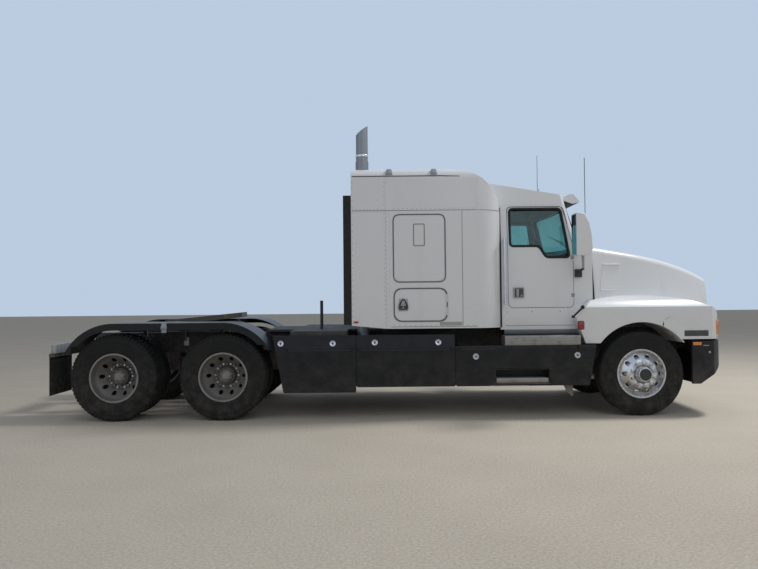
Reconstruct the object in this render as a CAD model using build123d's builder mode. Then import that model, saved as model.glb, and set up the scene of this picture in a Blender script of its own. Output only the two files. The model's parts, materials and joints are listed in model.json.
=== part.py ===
"""Highway tractor unit with a sleeper, in millimetres.

X runs forward, Y to the left and Z up. The origin is on the ground below the
middle of the truck. Stations along the truck are measured from the front axle.
"""
import os
from math import cos, radians, sin

from build123d import *

os.makedirs("parts", exist_ok=True)

# Stations along the truck
wheelbase = 5757
front_overhang = 1123
rear_overhang = 1430
bogie_spread = 1321
front_axle_x = (rear_overhang + wheelbase - front_overhang) / 2
bumper_face_x = front_axle_x + front_overhang
bogie_x = front_axle_x - wheelbase
flap_back_x = bogie_x - rear_overhang
drive_axle_xs = (bogie_x + bogie_spread / 2, bogie_x - bogie_spread / 2)

# Gaps and fits
fit_gap = 0.3
swing_gap = 6
pin_gap = 0.5

# Wheels
steer_tyre_r = 512
steer_tyre_width = 284
steer_wheel_y = 1000
drive_tyre_r = 525
drive_tyre_width = 279
outer_tyre_y = 1080
dual_spacing = 343
rim_seat_r = 286
rim_flange_r = 298.5
rim_half_width = 104
rim_wall = 8
rim_flange_width = 11
disc_thickness = 22
steer_disc_offset = 150
hand_hole_count = 10
hand_hole_r = 27
stud_circle_r = 143
nut_height = 26
hub_bore_r = 110
dual_face_y = outer_tyre_y - dual_spacing / 2

# Frame
rail_half_width = 432
rail_depth = 270
rail_top_z = 1040
rail_flange = 90
rail_wall = 10
rail_bottom_z = rail_top_z - rail_depth
frame_front_x = front_axle_x + 1000
frame_back_x = bogie_x - 1190

# Cab
cab_wall = 45
cab_half_width = 1000
cab_bottom_z = 1060
belt_z = 2070
cab_top_half_width = 930
cab_roof_front = (front_axle_x - 817, 2730)
cab_roof_back = (front_axle_x - 1980, 2925)
cab_back_x = front_axle_x - 1692
pillar_low_x = front_axle_x - 742
pillar_high_x = front_axle_x - 862
glass_low_x = front_axle_x - 477
glass_high_x = front_axle_x - 749
glass_top_z = 2643
cowl_side_x = front_axle_x - 777
cowl_front_x = front_axle_x - 532
cowl_nose_x = front_axle_x - 487
cowl_half_width = 950
roof_seam_z = 2612

# Doors of the cab, by corner in side view
door_back_x = front_axle_x - 1597
door_front_x = front_axle_x - 777
door_top_front_x = front_axle_x - 897
door_bottom_z = 1325
door_top_z = 2594
door_slant_z = 2075
window_back_x = front_axle_x - 1562
window_step_x = front_axle_x - 1206
window_dip_x = front_axle_x - 1118
window_low_front_x = front_axle_x - 829
window_top_front_x = front_axle_x - 923
window_top_z = 2563
window_sill_z = 2094
window_dip_z = 1952

# Sleeper
sleeper_half_width = 1170
sleeper_back_x = front_axle_x - 3112
sleeper_bottom_z = 1090
sleeper_top_z = 3055
sleeper_corner_r = 150
sleeper_seam_z = 2530
roof_curve_x = front_axle_x - 2347
roof_curve_z = 2500
plan_curve_x = front_axle_x - 1997
luggage_back_x = front_axle_x - 3013
luggage_front_x = front_axle_x - 2371
luggage_bottom_z = 1180
luggage_top_z = 1575
luggage_corner_r = 100
blank_back_x = front_axle_x - 3023
blank_front_x = front_axle_x - 2383
blank_bottom_z = 1652
blank_top_z = 2483

# Hood and fenders
hood_wall = 10
hood_gap = 14
hood_back_x = cowl_front_x + hood_gap
hood_face_x = bumper_face_x - 5
hood_hinge_x = hood_face_x - 31
hood_hinge_z = 955
hood_crown = 28
hood_edge_r = 90
hood_base_z = 1150
hood_sections = (
    # station, height, half width at the top, half width at the base
    (hood_back_x, 2118, 800, 945),
    (front_axle_x + 130, 2010, 730, 850),
    (front_axle_x + 680, 1880, 590, 690),
    (front_axle_x + 1130, 1695, 440, 560),
)
grille_foot_z = 1300
grille_rake_x = hood_face_x - 22
grille_top_z = 1678
grille_lip = (hood_face_x - 62, 1724)
fender_half_width = 1150
fender_back_z = 890
fender_toe_z = 930
fender_heel = (front_axle_x - 796, 1213)
fender_tail_x = front_axle_x - 687
fender_knee = (front_axle_x - 601, 1406)
fender_brow = (front_axle_x + 671, 1393)
fender_nose = (
    (front_axle_x + 935, 1300),
    (front_axle_x + 988, 1240),
    (front_axle_x + 1013, 1192),
    (bumper_face_x, 1192),
)
crest_z = 1470
crest_y = 800
shoulder_z = 1328
shoulder_swell = (1020, 1432)
arch_r = 630
arch_inner_y = 600
plan_mid_y = 760
plan_mid_drop = 45
plan_corner_drop = 260

# Roof, visor and walls
pillar_r = 60
form_overrun = 200
cab_form_back_x = cab_roof_back[0]
visor_drop = 110
visor_length = 190

# Openings and glass
door_corner_r = 60
window_corner_r = 45
half_way_y = 700
cowl_split = 12
glass_depth = 14
glass_thickness = 6
windshield_low_z = 2112
windshield_high_z = 2600
windshield_low_half = 860
windshield_high_half = 810
visor_half_width = 820
visor_corners = (
    (front_axle_x - 850, 2722),
    (front_axle_x - 790, 2752),
    (front_axle_x - 752, 2766),
    (front_axle_x - 715, 2760),
    (front_axle_x - 641, 2676),
    (front_axle_x - 656, 2650),
    (front_axle_x - 732, 2638),
    (front_axle_x - 850, 2680),
)
handle_back_x = front_axle_x - 1531
handle_low_z = 1450
handle_size = 130
handle_depth = 22


# Nose fittings
grille_low_half = 440
grille_high_half = 385
grille_low_z = 1005
grille_high_z = 1640
grille_corner_r = 40
grille_depth = 30
grille_rim = 34
grille_bar = 26
grille_bar_count = 9
lamp_inner_y = 560
lamp_split_y = 905
lamp_low_z = 985
lamp_high_z = 1155
lamp_inner_high_z = 1168
lamp_depth = 40
lamp_gap = 4
lamp_wrap = 95
hood_eye_y = 150
hood_eye_r = 17
hood_eye_width = 24
hood_pin_r = 9
bumper_low_z = 389
bumper_high_z = 908
bumper_back_x = front_axle_x + 600
bumper_half_width = 1168
bumper_wall = 36
bumper_chin = (
    (bumper_face_x, 705),
    (bumper_face_x - 55, 640),
    (bumper_face_x - 265, 500),
    (bumper_face_x - 425, bumper_low_z),
)
tow_hole_y = 300
tow_hole_z = 780
tow_hole_r = 26
tow_collar_r = 40
tow_collar_back_x = bumper_face_x - 57
tow_collar_face_x = bumper_face_x - 13

# Wheel fittings
tread_half = 112
shoulder_run = 16
shoulder_drop = 18
hand_hole_circle_r = 216
disc_flat_r = 172
nut_r = 19
steer_root_offset = 62
hub_flange = 24
hub_cap_r = 82
hub_cap_length = 92
hub_cap_wall = 12
spindle_r = 45
steer_drum_r = 208
steer_drum_y = 915
drive_root_offset = -24
drive_drum_depth = 250
drive_drum_r = 210
drive_hub_length = 96
drive_flange_r = 84
half_shaft_r = 56

# Running gear
crossmember_xs = (
    frame_back_x + 40,
    bogie_x,
    bogie_x + 1150,
    front_axle_x - 3300,
    front_axle_x - 1900,
    front_axle_x + 820,
)
crossmember_width = 80
crossmember_height = 220
bumper_bracket_z = 690
bumper_bracket_height = 120
hinge_plate_run = 60
front_beam_z = 850
kingpin_y = 860
kingpin_r = 22
eye_r = 42
eye_height = 110
yoke_height = 38
yoke_y = 930
steer_arm = 180
steer_arm_half = 28
tie_rod_r = 18
tie_end_r = 26
tie_pin_r = 12
beam_low_z = 372
beam_height = 96
beam_width = 92
beam_web = 20
beam_flange = 18
beam_pocket = 920
beam_flat_y = 560
beam_rise_y = 740
spring_seat = 22
spring_reach = 690
spring_eye_z = 640
shackle_low_z = 610
shackle_length = 90
spring_width = 76
leaf_pack = 52
axle_tube_r = 72
axle_tube_y = 640
axle_end_y = dual_face_y + drive_hub_length - 5
differential_r = 205
pinion_reach = 330
pinion_r = 75
pinion_z = drive_tyre_r + 40
shaft_r = 48
hanger_reach = 520
bag_reach = 330
bag_r = 122
bag_end_r = 92
arm_width = 80
arm_height = 46
arm_drop = -30
gearbox_back_x = front_axle_x - 1500
gearbox_z = 760
gearbox_width = 430
gearbox_height = 400
engine_back_x = front_axle_x - 440
engine_front_x = front_axle_x + 600
engine_low_half = 320
engine_high_half = 405
engine_low_z = 610
engine_high_z = 1640
radiator_x = front_axle_x + 680
radiator_thickness = 110
radiator_half = 410
radiator_top_z = 1660

# Tanks, skirts and steps
tank_r = 305
tank_gap = 45
tank_z = 690
tank_back_x = front_axle_x - 3312
tank_length = 960
tank_edge_r = 30
skirt_y = 1200
skirt_wall = 12
skirt_top_z = 1016
skirt_corner_r = 20
crease_z = 833
crease_lean = 32
skirt_step_z = 876
skirt_panels = (
    # back edge above and below, front edge above and below, bottom, top
    (front_axle_x - 4497, front_axle_x - 4364, front_axle_x - 3484, front_axle_x - 3484, 325, skirt_top_z),
    (front_axle_x - 3478, front_axle_x - 3478, front_axle_x - 2283, front_axle_x - 2283, 388, skirt_top_z),
    (front_axle_x - 2276, front_axle_x - 2276, front_axle_x - 567, front_axle_x - 659, 388, skirt_step_z),
)
skirt_stay_xs = (
    front_axle_x - 4330,
    front_axle_x - 3530,
    front_axle_x - 3450,
    front_axle_x - 2320,
    front_axle_x - 2230,
    front_axle_x - 780,
)
skirt_stay_z = 850
stay_size = 40
step_back_x = front_axle_x - 1810
step_front_x = front_axle_x - 1132
step_depth = 190
lower_step_z = 413
lower_step_top_z = 599
upper_step_back_x = front_axle_x - 1678
upper_step_front_x = front_axle_x - 762
upper_step_z = 882
upper_step_top_z = 988
grab_x = front_axle_x - 1640
grab_bars = ((1360, 2200),)
grab_stand = 60
grab_r = 16
grab_foot_r = 12
grab_inset = 45

# Behind the sleeper
overall_height = 3667
extender_thickness = 25
extender_roll_y = 955
extender_low_z = 1130
extender_high_z = 2730
extender_back_x = front_axle_x - 3532
strip_width = 97
flap_thickness = 10
flap_outer_y = 1215
flap_inner_y = 620
flap_low_z = 319
flap_high_z = 830
flap_bar_z = 785
tail_lamp_depth = 60
tail_lamp_top_z = 942
tail_lamp_inner_y = 770
stack_x = front_axle_x - 3401
stack_y = -750
stack_r = 76
stack_wall = 4
stack_slant = 120
collar_z = 3050
muffler_r = 125
muffler_low_z = 1250
stack_low_z = 920
muffler_high_z = 2900
fender_r = 652
fender_wall = 8
fender_lip = 75
fender_lip_reach = 500
fender_inner_y = 590
fender_outer_y = 1226
fender_front_z = 853
fender_rear_z = 808
fender_stay_reach = 500
fender_post_y = 485
stay_foot_z = 950
deck_back_x = front_axle_x - 4660
deck_front_x = front_axle_x - 3160
deck_half = 1120
deck_narrow = 560
deck_thickness = 28
deck_box_low_z = 560
deck_box_back_x = front_axle_x - 4290
deck_box_front_x = front_axle_x - 3592
post_x = front_axle_x - 3950
post_y = -530
post_r = 20
post_top_z = 1440

# Fifth wheel
fifth_x = front_axle_x - 5597
fifth_pivot_z = 1150
fifth_rest = 5.5
fifth_rise = 88
fifth_lip = 66
fifth_rib = 40
fifth_half = 445
fifth_front = 540
fifth_shoulder = 130
fifth_back = 460
horn_outer = 330
horn_inner = 190
throat_x = 20
kingpin_throat_r = 26
fifth_ear_y = 372
fifth_ear_r = 46
fifth_ear_width = 50
fifth_pin_r = 24

# Mirrors and lamps
mirror_back_x = front_axle_x - 833
mirror_front_x = front_axle_x - 636
mirror_low_z = 1954
mirror_high_z = 2460
mirror_corners = (
    (mirror_back_x, mirror_low_z),
    (mirror_back_x, mirror_high_z),
    (mirror_back_x + 105, mirror_high_z),
    (mirror_back_x + 162, mirror_high_z - 120),
    (mirror_back_x + 188, mirror_high_z - 260),
    (mirror_front_x, mirror_low_z + 80),
    (mirror_front_x - 40, mirror_low_z),
)
mirror_round = 30
mirror_inner_y = 1130
mirror_width = 215
mirror_arm_r = 16
mirror_foot_x = front_axle_x - 725
mirror_foot_z = 1750
mirror_foot_half = 50
mirror_arm_inset = 90
antenna_x = mirror_back_x + 150
antenna_inset = 60
antenna_root = 130
antenna_r = 4
antenna_top_z = 3150
marker_depth = 14
marker_table = (
    # place along, across and up, then length and height
    (front_axle_x - 742, fender_half_width, 1110, 70, 90),
    (front_axle_x + 660, bumper_half_width, 875, 110, 46),
    (sleeper_back_x - 366, sleeper_half_width, 1173, 60, 22),
)

# Inside the cab
dash_half = 925
dash_corners = (
    (front_axle_x - 900, 1620),
    (front_axle_x - 860, 1930),
    (front_axle_x - 780, 1985),
    (front_axle_x - 300, 1985),
    (front_axle_x - 300, 1560),
    (front_axle_x - 760, 1500),
)
steering_x = front_axle_x - 1050
steering_y = 480
steering_z = 1960
steering_tilt = 52
steering_r = 225
steering_column = 300
seat_y = 480
seat_x = front_axle_x - 1480
seat_width = 520
seat_base_z = 1400
seat_post_width = 360
seat_corners = (
    (front_axle_x - 1230, seat_base_z),
    (front_axle_x - 1230, 1545),
    (front_axle_x - 1600, 1530),
    (front_axle_x - 1690, 2260),
    (front_axle_x - 1850, 2240),
    (front_axle_x - 1760, seat_base_z),
)
mattress_thickness = 140

# Door hinges
knuckle_r = 9
hinge_pin_r = 5
hinge_length = 96
hinge_leaf = 34
leaf_thickness = 3
door_hinge_x = door_front_x - swing_gap / 2
door_hinge_zs = (1480, 1950)
luggage_hinge_x = luggage_front_x - swing_gap / 2
luggage_hinge_zs = (1300, 1455)

# Sleeper fittings
blank_corner_r = 90
gasket_width = 14
gasket_depth = 6
latch_inset = 110
latch_width = 105
latch_height = 150
latch_depth = 16
floor_thickness = 40
cab_pad_xs = (front_axle_x - 1600, front_axle_x - 640)
sleeper_pad_xs = (front_axle_x - 3000, front_axle_x - 1900)
pad_length = 120
bunk_z = 1620
bunk_board_thickness = 20
bunk_front_x = front_axle_x - 2240


# How a box sits about its place: standing on it, or reaching right from it
standing = (Align.CENTER, Align.CENTER, Align.MIN)
reaching = (Align.CENTER, Align.MAX, Align.CENTER)


def side_sign(side):
    """Which way a side lies from the middle: left is +1, right is -1."""
    return 1 if side == "left" else -1


def cab_section(height, half, pillar_x, nose_x):
    """Plan of the glasshouse: straight sides and a bowed windshield."""
    with BuildSketch(Plane.XY.offset(height)) as section:
        with BuildLine():
            Polyline((pillar_x, -half), (cab_form_back_x, -half), (cab_form_back_x, half), (pillar_x, half))
            ThreePointArc((pillar_x, half), (nose_x, 0), (pillar_x, -half))
        make_face()
        fillet(section.vertices().sort_by(Axis.X)[2:], pillar_r)
    return section.sketch


def cab_form(inset):
    """The cab's outside, moved in by inset all over and open below when inset."""
    half = cab_half_width - inset
    cowl_half = cowl_half_width - inset
    cowl_x = cowl_front_x - inset
    floor_z = cab_bottom_z - (form_overrun if inset else 0)
    top_z = cab_roof_back[1] + form_overrun
    climb = top_z - belt_z
    share = climb / (glass_top_z - belt_z)
    top_half = half - share * (cab_half_width - cab_top_half_width)
    top_pillar_x = pillar_low_x - inset - share * (pillar_low_x - pillar_high_x)
    top_nose_x = glass_low_x - inset - share * (glass_low_x - glass_high_x)
    with BuildPart() as form:
        loft(
            [
                cab_section(belt_z, half, pillar_low_x - inset, glass_low_x - inset),
                cab_section(top_z, top_half, top_pillar_x, top_nose_x),
            ],
            ruled=True,
        )
        with BuildSketch(Plane.XZ):
            Polygon(
                (cab_form_back_x, belt_z),
                (bumper_face_x, belt_z),
                (bumper_face_x, cab_roof_front[1] - visor_drop - inset),
                (cab_roof_front[0] + visor_length, cab_roof_front[1] - visor_drop - inset),
                (cab_roof_front[0], cab_roof_front[1] - inset),
                (cab_form_back_x, cab_roof_back[1] - inset),
                align=None,
            )
        extrude(amount=cab_half_width, both=True, mode=Mode.INTERSECT)
        with BuildSketch(Plane.XY.offset(floor_z)):
            with BuildLine():
                Polyline(
                    (cowl_x, -cowl_half),
                    (cowl_side_x, -half),
                    (cab_form_back_x, -half),
                    (cab_form_back_x, half),
                    (cowl_side_x, half),
                    (cowl_x, cowl_half),
                )
                ThreePointArc((cowl_x, cowl_half), (cowl_nose_x - inset, 0), (cowl_x, -cowl_half))
            make_face()
        extrude(amount=belt_z - inset - floor_z)
        if inset:
            # the glasshouse and the lower cab meet through the cowl's opening
            with BuildSketch(Plane.XY.offset(belt_z - inset)):
                with Locations((cab_form_back_x, 0)):
                    Rectangle(cowl_side_x - cab_form_back_x, 2 * half, align=(Align.MIN, Align.CENTER))
            extrude(amount=inset)
    return form.part


def side_prism(corners, rounding, low_y, high_y):
    """A side-view outline with rounded corners, run from low_y to high_y."""
    with BuildPart() as prism:
        with BuildSketch(Plane.XZ.offset(-high_y)) as outline:
            Polygon(*corners, align=None)
            if rounding:
                fillet(outline.vertices(), rounding)
        extrude(amount=high_y - low_y)
    return prism.part


def front_prism(corners, rounding, low_x, high_x):
    """A front-view outline with rounded corners, run from low_x to high_x."""
    with BuildPart() as prism:
        with BuildSketch(Plane.YZ.offset(low_x)) as outline:
            Polygon(*corners, align=None)
            if rounding:
                fillet(outline.vertices(), rounding)
        extrude(amount=high_x - low_x)
    return prism.part


def block(low, high):
    """A plain box between two opposite corners."""
    with BuildPart(Location(low)) as solid:
        Box(*(b - a for a, b in zip(low, high)), align=(Align.MIN, Align.MIN, Align.MIN))
    return solid.part


def pads(stations, top_z):
    """Mounting pads on both rails, up to the floor above."""
    with BuildPart() as feet:
        for station in stations:
            with Locations((station, rail_half_width - rail_flange / 2, rail_top_z),
                           (station, rail_flange / 2 - rail_half_width, rail_top_z)):
                Box(pad_length, rail_flange, top_z - rail_top_z, align=standing)
    return feet.part


def frame_corners(low_x, high_x, low_z, high_z, inset=0):
    """The four corners of an upright rectangle, moved in by inset."""
    return (
        (low_x + inset, low_z + inset),
        (high_x - inset, low_z + inset),
        (high_x - inset, high_z - inset),
        (low_x + inset, high_z - inset),
    )


def sleeper_form(inset):
    """The sleeper's outside, moved in by inset all over and open below when inset."""
    floor_z = sleeper_bottom_z - (form_overrun if inset else 0)
    half = sleeper_half_width - inset
    narrow = cab_half_width - inset
    back = sleeper_back_x + inset
    front = cab_back_x - inset
    top = sleeper_top_z - inset
    with BuildPart() as form:
        with BuildSketch(Plane.XZ):
            with BuildLine():
                Polyline(
                    (front, roof_curve_z),
                    (front, floor_z),
                    (back, floor_z),
                    (back, top),
                    (roof_curve_x, top),
                )
                EllipticalCenterArc((roof_curve_x, roof_curve_z), front - roof_curve_x, top - roof_curve_z,
                                    arc_size=90)
            make_face()
        extrude(amount=sleeper_half_width, both=True)
        with BuildSketch(Plane.XY.offset(floor_z)):
            with BuildLine():
                Polyline((front, 0), (back, 0), (back, half), (plan_curve_x, half))
                TangentArc((plan_curve_x, half), (front, narrow), tangent=(1, 0))
                Line((front, narrow), (front, 0))
            make_face()
            mirror(about=Plane.XZ)
        extrude(amount=top - floor_z, mode=Mode.INTERSECT)
        with BuildSketch(Plane.YZ.offset(back)) as across:
            Polygon((-half, floor_z), (half, floor_z), (half, top), (-half, top), align=None)
            fillet(across.vertices().sort_by(Axis.Y)[2:], sleeper_corner_r - inset)
        extrude(amount=front - back, mode=Mode.INTERSECT)
    return form.part


def bowed_plan(height, back_x, face_x, half):
    """Plan of the truck's nose: bowed in front and rounded at the corners."""
    with BuildSketch(Plane.XY.offset(height)) as plan:
        with BuildLine():
            bow = TangentArc((face_x, 0), (face_x - plan_mid_drop, plan_mid_y), tangent=(0, 1))
            corner = TangentArc(bow @ 1, (face_x - plan_corner_drop, half), tangent=bow % 1)
            Polyline(corner @ 1, (back_x, half), (back_x, 0), (face_x, 0))
        make_face()
        mirror(about=Plane.XZ)
    return plan.sketch


def hood_section(station, top_z, top_half, base_half, inset):
    """One rounded slice of the hood's middle, from below the fenders to the crown."""
    low_z = hood_base_z - (form_overrun if inset else 0)
    edge_z = top_z - hood_crown - inset
    with BuildSketch(Plane.YZ.offset(station)) as section:
        with BuildLine():
            Polyline(
                (top_half - inset, edge_z),
                (base_half - inset, low_z),
                (-base_half + inset, low_z),
                (-top_half + inset, edge_z),
            )
            ThreePointArc((-top_half + inset, edge_z), (0, top_z - inset), (top_half - inset, edge_z))
        make_face()
        fillet(section.vertices().sort_by(Axis.Y)[2:], hood_edge_r)
    return section.sketch


def nose_form(inset):
    """The hood's tapering middle, with its raked front."""
    with BuildPart() as form:
        loft([hood_section(*row, inset) for row in hood_sections])
        with BuildSketch(Plane.XZ):
            Polygon(
                (hood_back_x, 0),
                (hood_face_x - inset, 0),
                (hood_face_x - inset, grille_foot_z),
                (grille_rake_x - inset, grille_top_z - inset),
                (grille_lip[0] - inset, grille_lip[1] - inset),
                (front_axle_x, 3 * hood_base_z),
                (hood_back_x, 3 * hood_base_z),
                align=None,
            )
        extrude(amount=cab_half_width, both=True, mode=Mode.INTERSECT)
        add(bowed_plan(0, hood_back_x, hood_face_x - inset, fender_half_width))
        extrude(amount=3 * hood_base_z, mode=Mode.INTERSECT)
    return form.part


def fender_form(inset):
    """The two front fenders and the space between them, open below when inset."""
    half = fender_half_width - inset
    low_z = fender_back_z - (form_overrun if inset else 0)
    knee = (fender_knee[0] + inset / 2, fender_knee[1] - inset)
    brow = (fender_brow[0], fender_brow[1] - inset)
    tail_lean = (fender_tail_x - fender_heel[0]) / (fender_heel[1] - fender_back_z)
    tail_x = fender_tail_x + inset + tail_lean * (fender_back_z - low_z)
    with BuildPart() as form:
        with BuildSketch(Plane.XZ):
            with BuildLine():
                ThreePointArc(knee, (front_axle_x, crest_z - inset), brow)
                Polyline(
                    brow,
                    *((x - inset / 2, z - inset) for x, z in fender_nose),
                    (bumper_face_x - inset / 2, low_z),
                    (tail_x, low_z),
                    (fender_heel[0] + inset, fender_heel[1]),
                    knee,
                )
            make_face()
        extrude(amount=fender_half_width, both=True)
        add(bowed_plan(low_z, fender_heel[0], hood_face_x - inset, half))
        extrude(amount=crest_z - low_z, mode=Mode.INTERSECT)
        with BuildSketch(Plane.YZ.offset(fender_heel[0])):
            with BuildLine():
                Polyline((crest_y, crest_z - inset), (0, crest_z - inset), (0, low_z), (half, low_z),
                         (half, shoulder_z - inset))
                ThreePointArc(
                    (half, shoulder_z - inset),
                    (shoulder_swell[0] - inset / 2, shoulder_swell[1] - inset),
                    (crest_y, crest_z - inset),
                )
            make_face()
            mirror(about=Plane.YZ)
        extrude(amount=bumper_face_x - fender_heel[0], mode=Mode.INTERSECT)
    return form.part


def hood_form(inset):
    """Hood and fenders together, moved in by inset."""
    with BuildPart() as form:
        add(fender_form(inset))
        add(nose_form(inset))
    return form.part


def bumper_form(inset):
    """The bumper's outside with its raked chin, moved in by inset and open when inset."""
    back_x = bumper_back_x - (1 if inset else 0)
    top_z = bumper_high_z + (1 if inset else 0)
    with BuildPart() as form:
        add(bowed_plan(0, back_x, bumper_face_x - inset, bumper_half_width - inset))
        extrude(amount=top_z)
        with BuildSketch(Plane.XZ):
            Polygon(
                (back_x, top_z),
                (bumper_face_x - inset, top_z),
                *((x - inset, z) for x, z in bumper_chin[:1]),
                *((x - inset, z + inset / 3) for x, z in bumper_chin[1:]),
                (back_x, 0 if inset else bumper_low_z),
                align=None,
            )
        extrude(amount=wide, both=True, mode=Mode.INTERSECT)
    return form.part


def save(piece, name):
    """Label a finished piece and write it to its own file."""
    piece.label = name
    export_step(piece, "parts/" + name + ".step")
    print(name, len(piece.solids()), round(piece.volume / 1e6, 2), "litres")


def hinge_pins(axis_x, skin_y, heights, leaf):
    """The fixed half of a door's hinges: pins on leaves, ahead of the gap."""
    sign = 1 if skin_y > 0 else -1
    with BuildPart() as pins:
        for height in heights:
            with Locations((axis_x, skin_y + sign * knuckle_r, height)):
                Cylinder(hinge_pin_r, hinge_length)
                for end in (-1, 1):
                    with Locations((0, 0, end * hinge_length * 3 / 8)):
                        Cylinder(knuckle_r, hinge_length / 4 - 1)
            for end in (-1, 1):
                with Locations((axis_x, skin_y, height + end * hinge_length * 3 / 8)):
                    Box(leaf, 2 * leaf_thickness, hinge_length / 4 - 1,
                        align=(Align.MIN, Align.CENTER, Align.CENTER))
    return pins.part


def hinge_eyes_on(axis_x, skin_y, heights):
    """The moving half: an eye round each pin, on a leaf behind the gap."""
    sign = 1 if skin_y > 0 else -1
    with BuildPart() as eyes:
        for height in heights:
            with Locations((axis_x, skin_y, height)):
                Box(hinge_leaf, 2 * leaf_thickness, hinge_length / 2 - 1,
                    align=(Align.MAX, Align.CENTER, Align.CENTER))
            with Locations((axis_x, skin_y + sign * knuckle_r, height)):
                Cylinder(knuckle_r, hinge_length / 2 - 1)
                Cylinder(hinge_pin_r + fit_gap, hinge_length / 2, mode=Mode.SUBTRACT)
    return eyes.part


# Whole shells of the cab, the sleeper and the hood
wide = fender_half_width + form_overrun
cab_outside = cab_form(0)
cab_inside = cab_form(cab_wall)
sleeper_outside = sleeper_form(0)
sleeper_inside = sleeper_form(cab_wall)

door_corners = (
    (door_back_x, door_bottom_z),
    (door_front_x, door_bottom_z),
    (door_front_x, door_slant_z),
    (door_top_front_x, door_top_z),
    (door_back_x, door_top_z),
)
door_leaf_corners = (
    (door_back_x + swing_gap, door_bottom_z + swing_gap),
    (door_front_x - swing_gap, door_bottom_z + swing_gap),
    (door_front_x - swing_gap, door_slant_z),
    (door_top_front_x - swing_gap, door_top_z - swing_gap),
    (door_back_x + swing_gap, door_top_z - swing_gap),
)
window_corners = (
    (window_back_x, window_sill_z),
    (window_step_x, window_sill_z),
    (window_dip_x, window_dip_z),
    (window_low_front_x, window_dip_z),
    (window_top_front_x, window_top_z),
    (window_back_x, window_top_z),
)
windshield_corners = (
    (-windshield_low_half, windshield_low_z),
    (windshield_low_half, windshield_low_z),
    (windshield_high_half, windshield_high_z),
    (-windshield_high_half, windshield_high_z),
)
cowl_region = block((door_front_x + cowl_split, -wide, 0), (bumper_face_x, wide, windshield_low_z))
roof_region = block((cab_form_back_x - form_overrun, -wide, roof_seam_z),
                    (bumper_face_x, wide, 2 * roof_seam_z))
windshield_hole = front_prism(windshield_corners, 70, pillar_high_x - form_overrun, bumper_face_x)

with BuildPart() as cab_shell:
    add(cab_outside)
    add(cab_inside, mode=Mode.SUBTRACT)
    add(sleeper_outside, mode=Mode.SUBTRACT)
    add(block((cab_form_back_x - 1, -wide, 0), (cab_back_x, wide, roof_curve_z)), mode=Mode.SUBTRACT)
    add(windshield_hole, mode=Mode.SUBTRACT)

with BuildPart() as cab_roof:
    add(cab_shell.part)
    add(roof_region, mode=Mode.INTERSECT)
    add(side_prism(visor_corners, 0, -visor_half_width, visor_half_width))
    add(cab_inside, mode=Mode.SUBTRACT)
save(cab_roof.part, "cab_roof")

with BuildPart() as cab_cowl:
    add(cab_shell.part)
    add(cowl_region, mode=Mode.INTERSECT)
save(cab_cowl.part, "cab_cowl")

with BuildPart() as cab_sides:
    add(cab_shell.part)
    add(roof_region, mode=Mode.SUBTRACT)
    add(cowl_region, mode=Mode.SUBTRACT)
    for low_y, high_y in ((-wide, -half_way_y), (half_way_y, wide)):
        add(side_prism(door_corners, door_corner_r, low_y, high_y), mode=Mode.SUBTRACT)
    for sign in (-1, 1):
        add(hinge_pins(door_hinge_x, sign * cab_half_width, door_hinge_zs, cowl_split))
save(cab_sides.part, "cab_sides")

# The windshield follows the glasshouse, just inside its face
with BuildPart() as windshield:
    add(cab_form(glass_depth))
    add(cab_form(glass_depth + glass_thickness), mode=Mode.SUBTRACT)
    add(windshield_hole, mode=Mode.INTERSECT)
save(windshield.part, "windshield")

# Each door is cut from the same wall, with its window, and hangs on two hinges
for side, low_y, high_y in (("right", -wide, -half_way_y), ("left", half_way_y, wide)):
    with BuildPart() as door:
        add(cab_outside)
        add(cab_inside, mode=Mode.SUBTRACT)
        add(side_prism(door_leaf_corners, door_corner_r - swing_gap, low_y, high_y), mode=Mode.INTERSECT)
        add(side_prism(window_corners, window_corner_r, low_y, high_y), mode=Mode.SUBTRACT)
        handle_y = cab_half_width if side == "left" else -cab_half_width - handle_depth
        add(block((handle_back_x, handle_y, handle_low_z),
                  (handle_back_x + handle_size, handle_y + handle_depth, handle_low_z + handle_size)))
        add(hinge_eyes_on(door_hinge_x, side_sign(side) * cab_half_width, door_hinge_zs))
    save(door.part, "door_" + side)
    with BuildPart() as door_glass:
        add(cab_form(glass_depth))
        add(cab_form(glass_depth + glass_thickness), mode=Mode.SUBTRACT)
        add(side_prism(window_corners, window_corner_r, low_y, high_y), mode=Mode.INTERSECT)
    save(door_glass.part, "door_glass_" + side)

# The sleeper's rear wall, side walls and domed roof
with BuildPart() as sleeper_shell:
    add(sleeper_outside)
    add(sleeper_inside, mode=Mode.SUBTRACT)
    add(cab_inside, mode=Mode.SUBTRACT)

luggage_sides = (luggage_back_x, luggage_front_x, luggage_bottom_z, luggage_top_z)
luggage_corners = frame_corners(*luggage_sides)
luggage_leaf_corners = frame_corners(*luggage_sides, swing_gap)
blank_sides = (blank_back_x, blank_front_x, blank_bottom_z, blank_top_z)
blank_corners = frame_corners(*blank_sides)
blank_panel_corners = frame_corners(*blank_sides, gasket_width)
rear_region = block((sleeper_back_x - 1, -wide, 0), (sleeper_back_x + cab_wall, wide, 2 * sleeper_top_z))
crown_region = block((sleeper_back_x - 1, -wide, sleeper_seam_z), (cab_back_x + 1, wide, 2 * sleeper_top_z))

with BuildPart() as sleeper_roof:
    add(sleeper_shell.part)
    add(crown_region, mode=Mode.INTERSECT)
save(sleeper_roof.part, "sleeper_roof")

with BuildPart() as sleeper_rear:
    add(sleeper_shell.part)
    add(crown_region, mode=Mode.SUBTRACT)
    add(rear_region, mode=Mode.INTERSECT)
save(sleeper_rear.part, "sleeper_rear")

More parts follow.
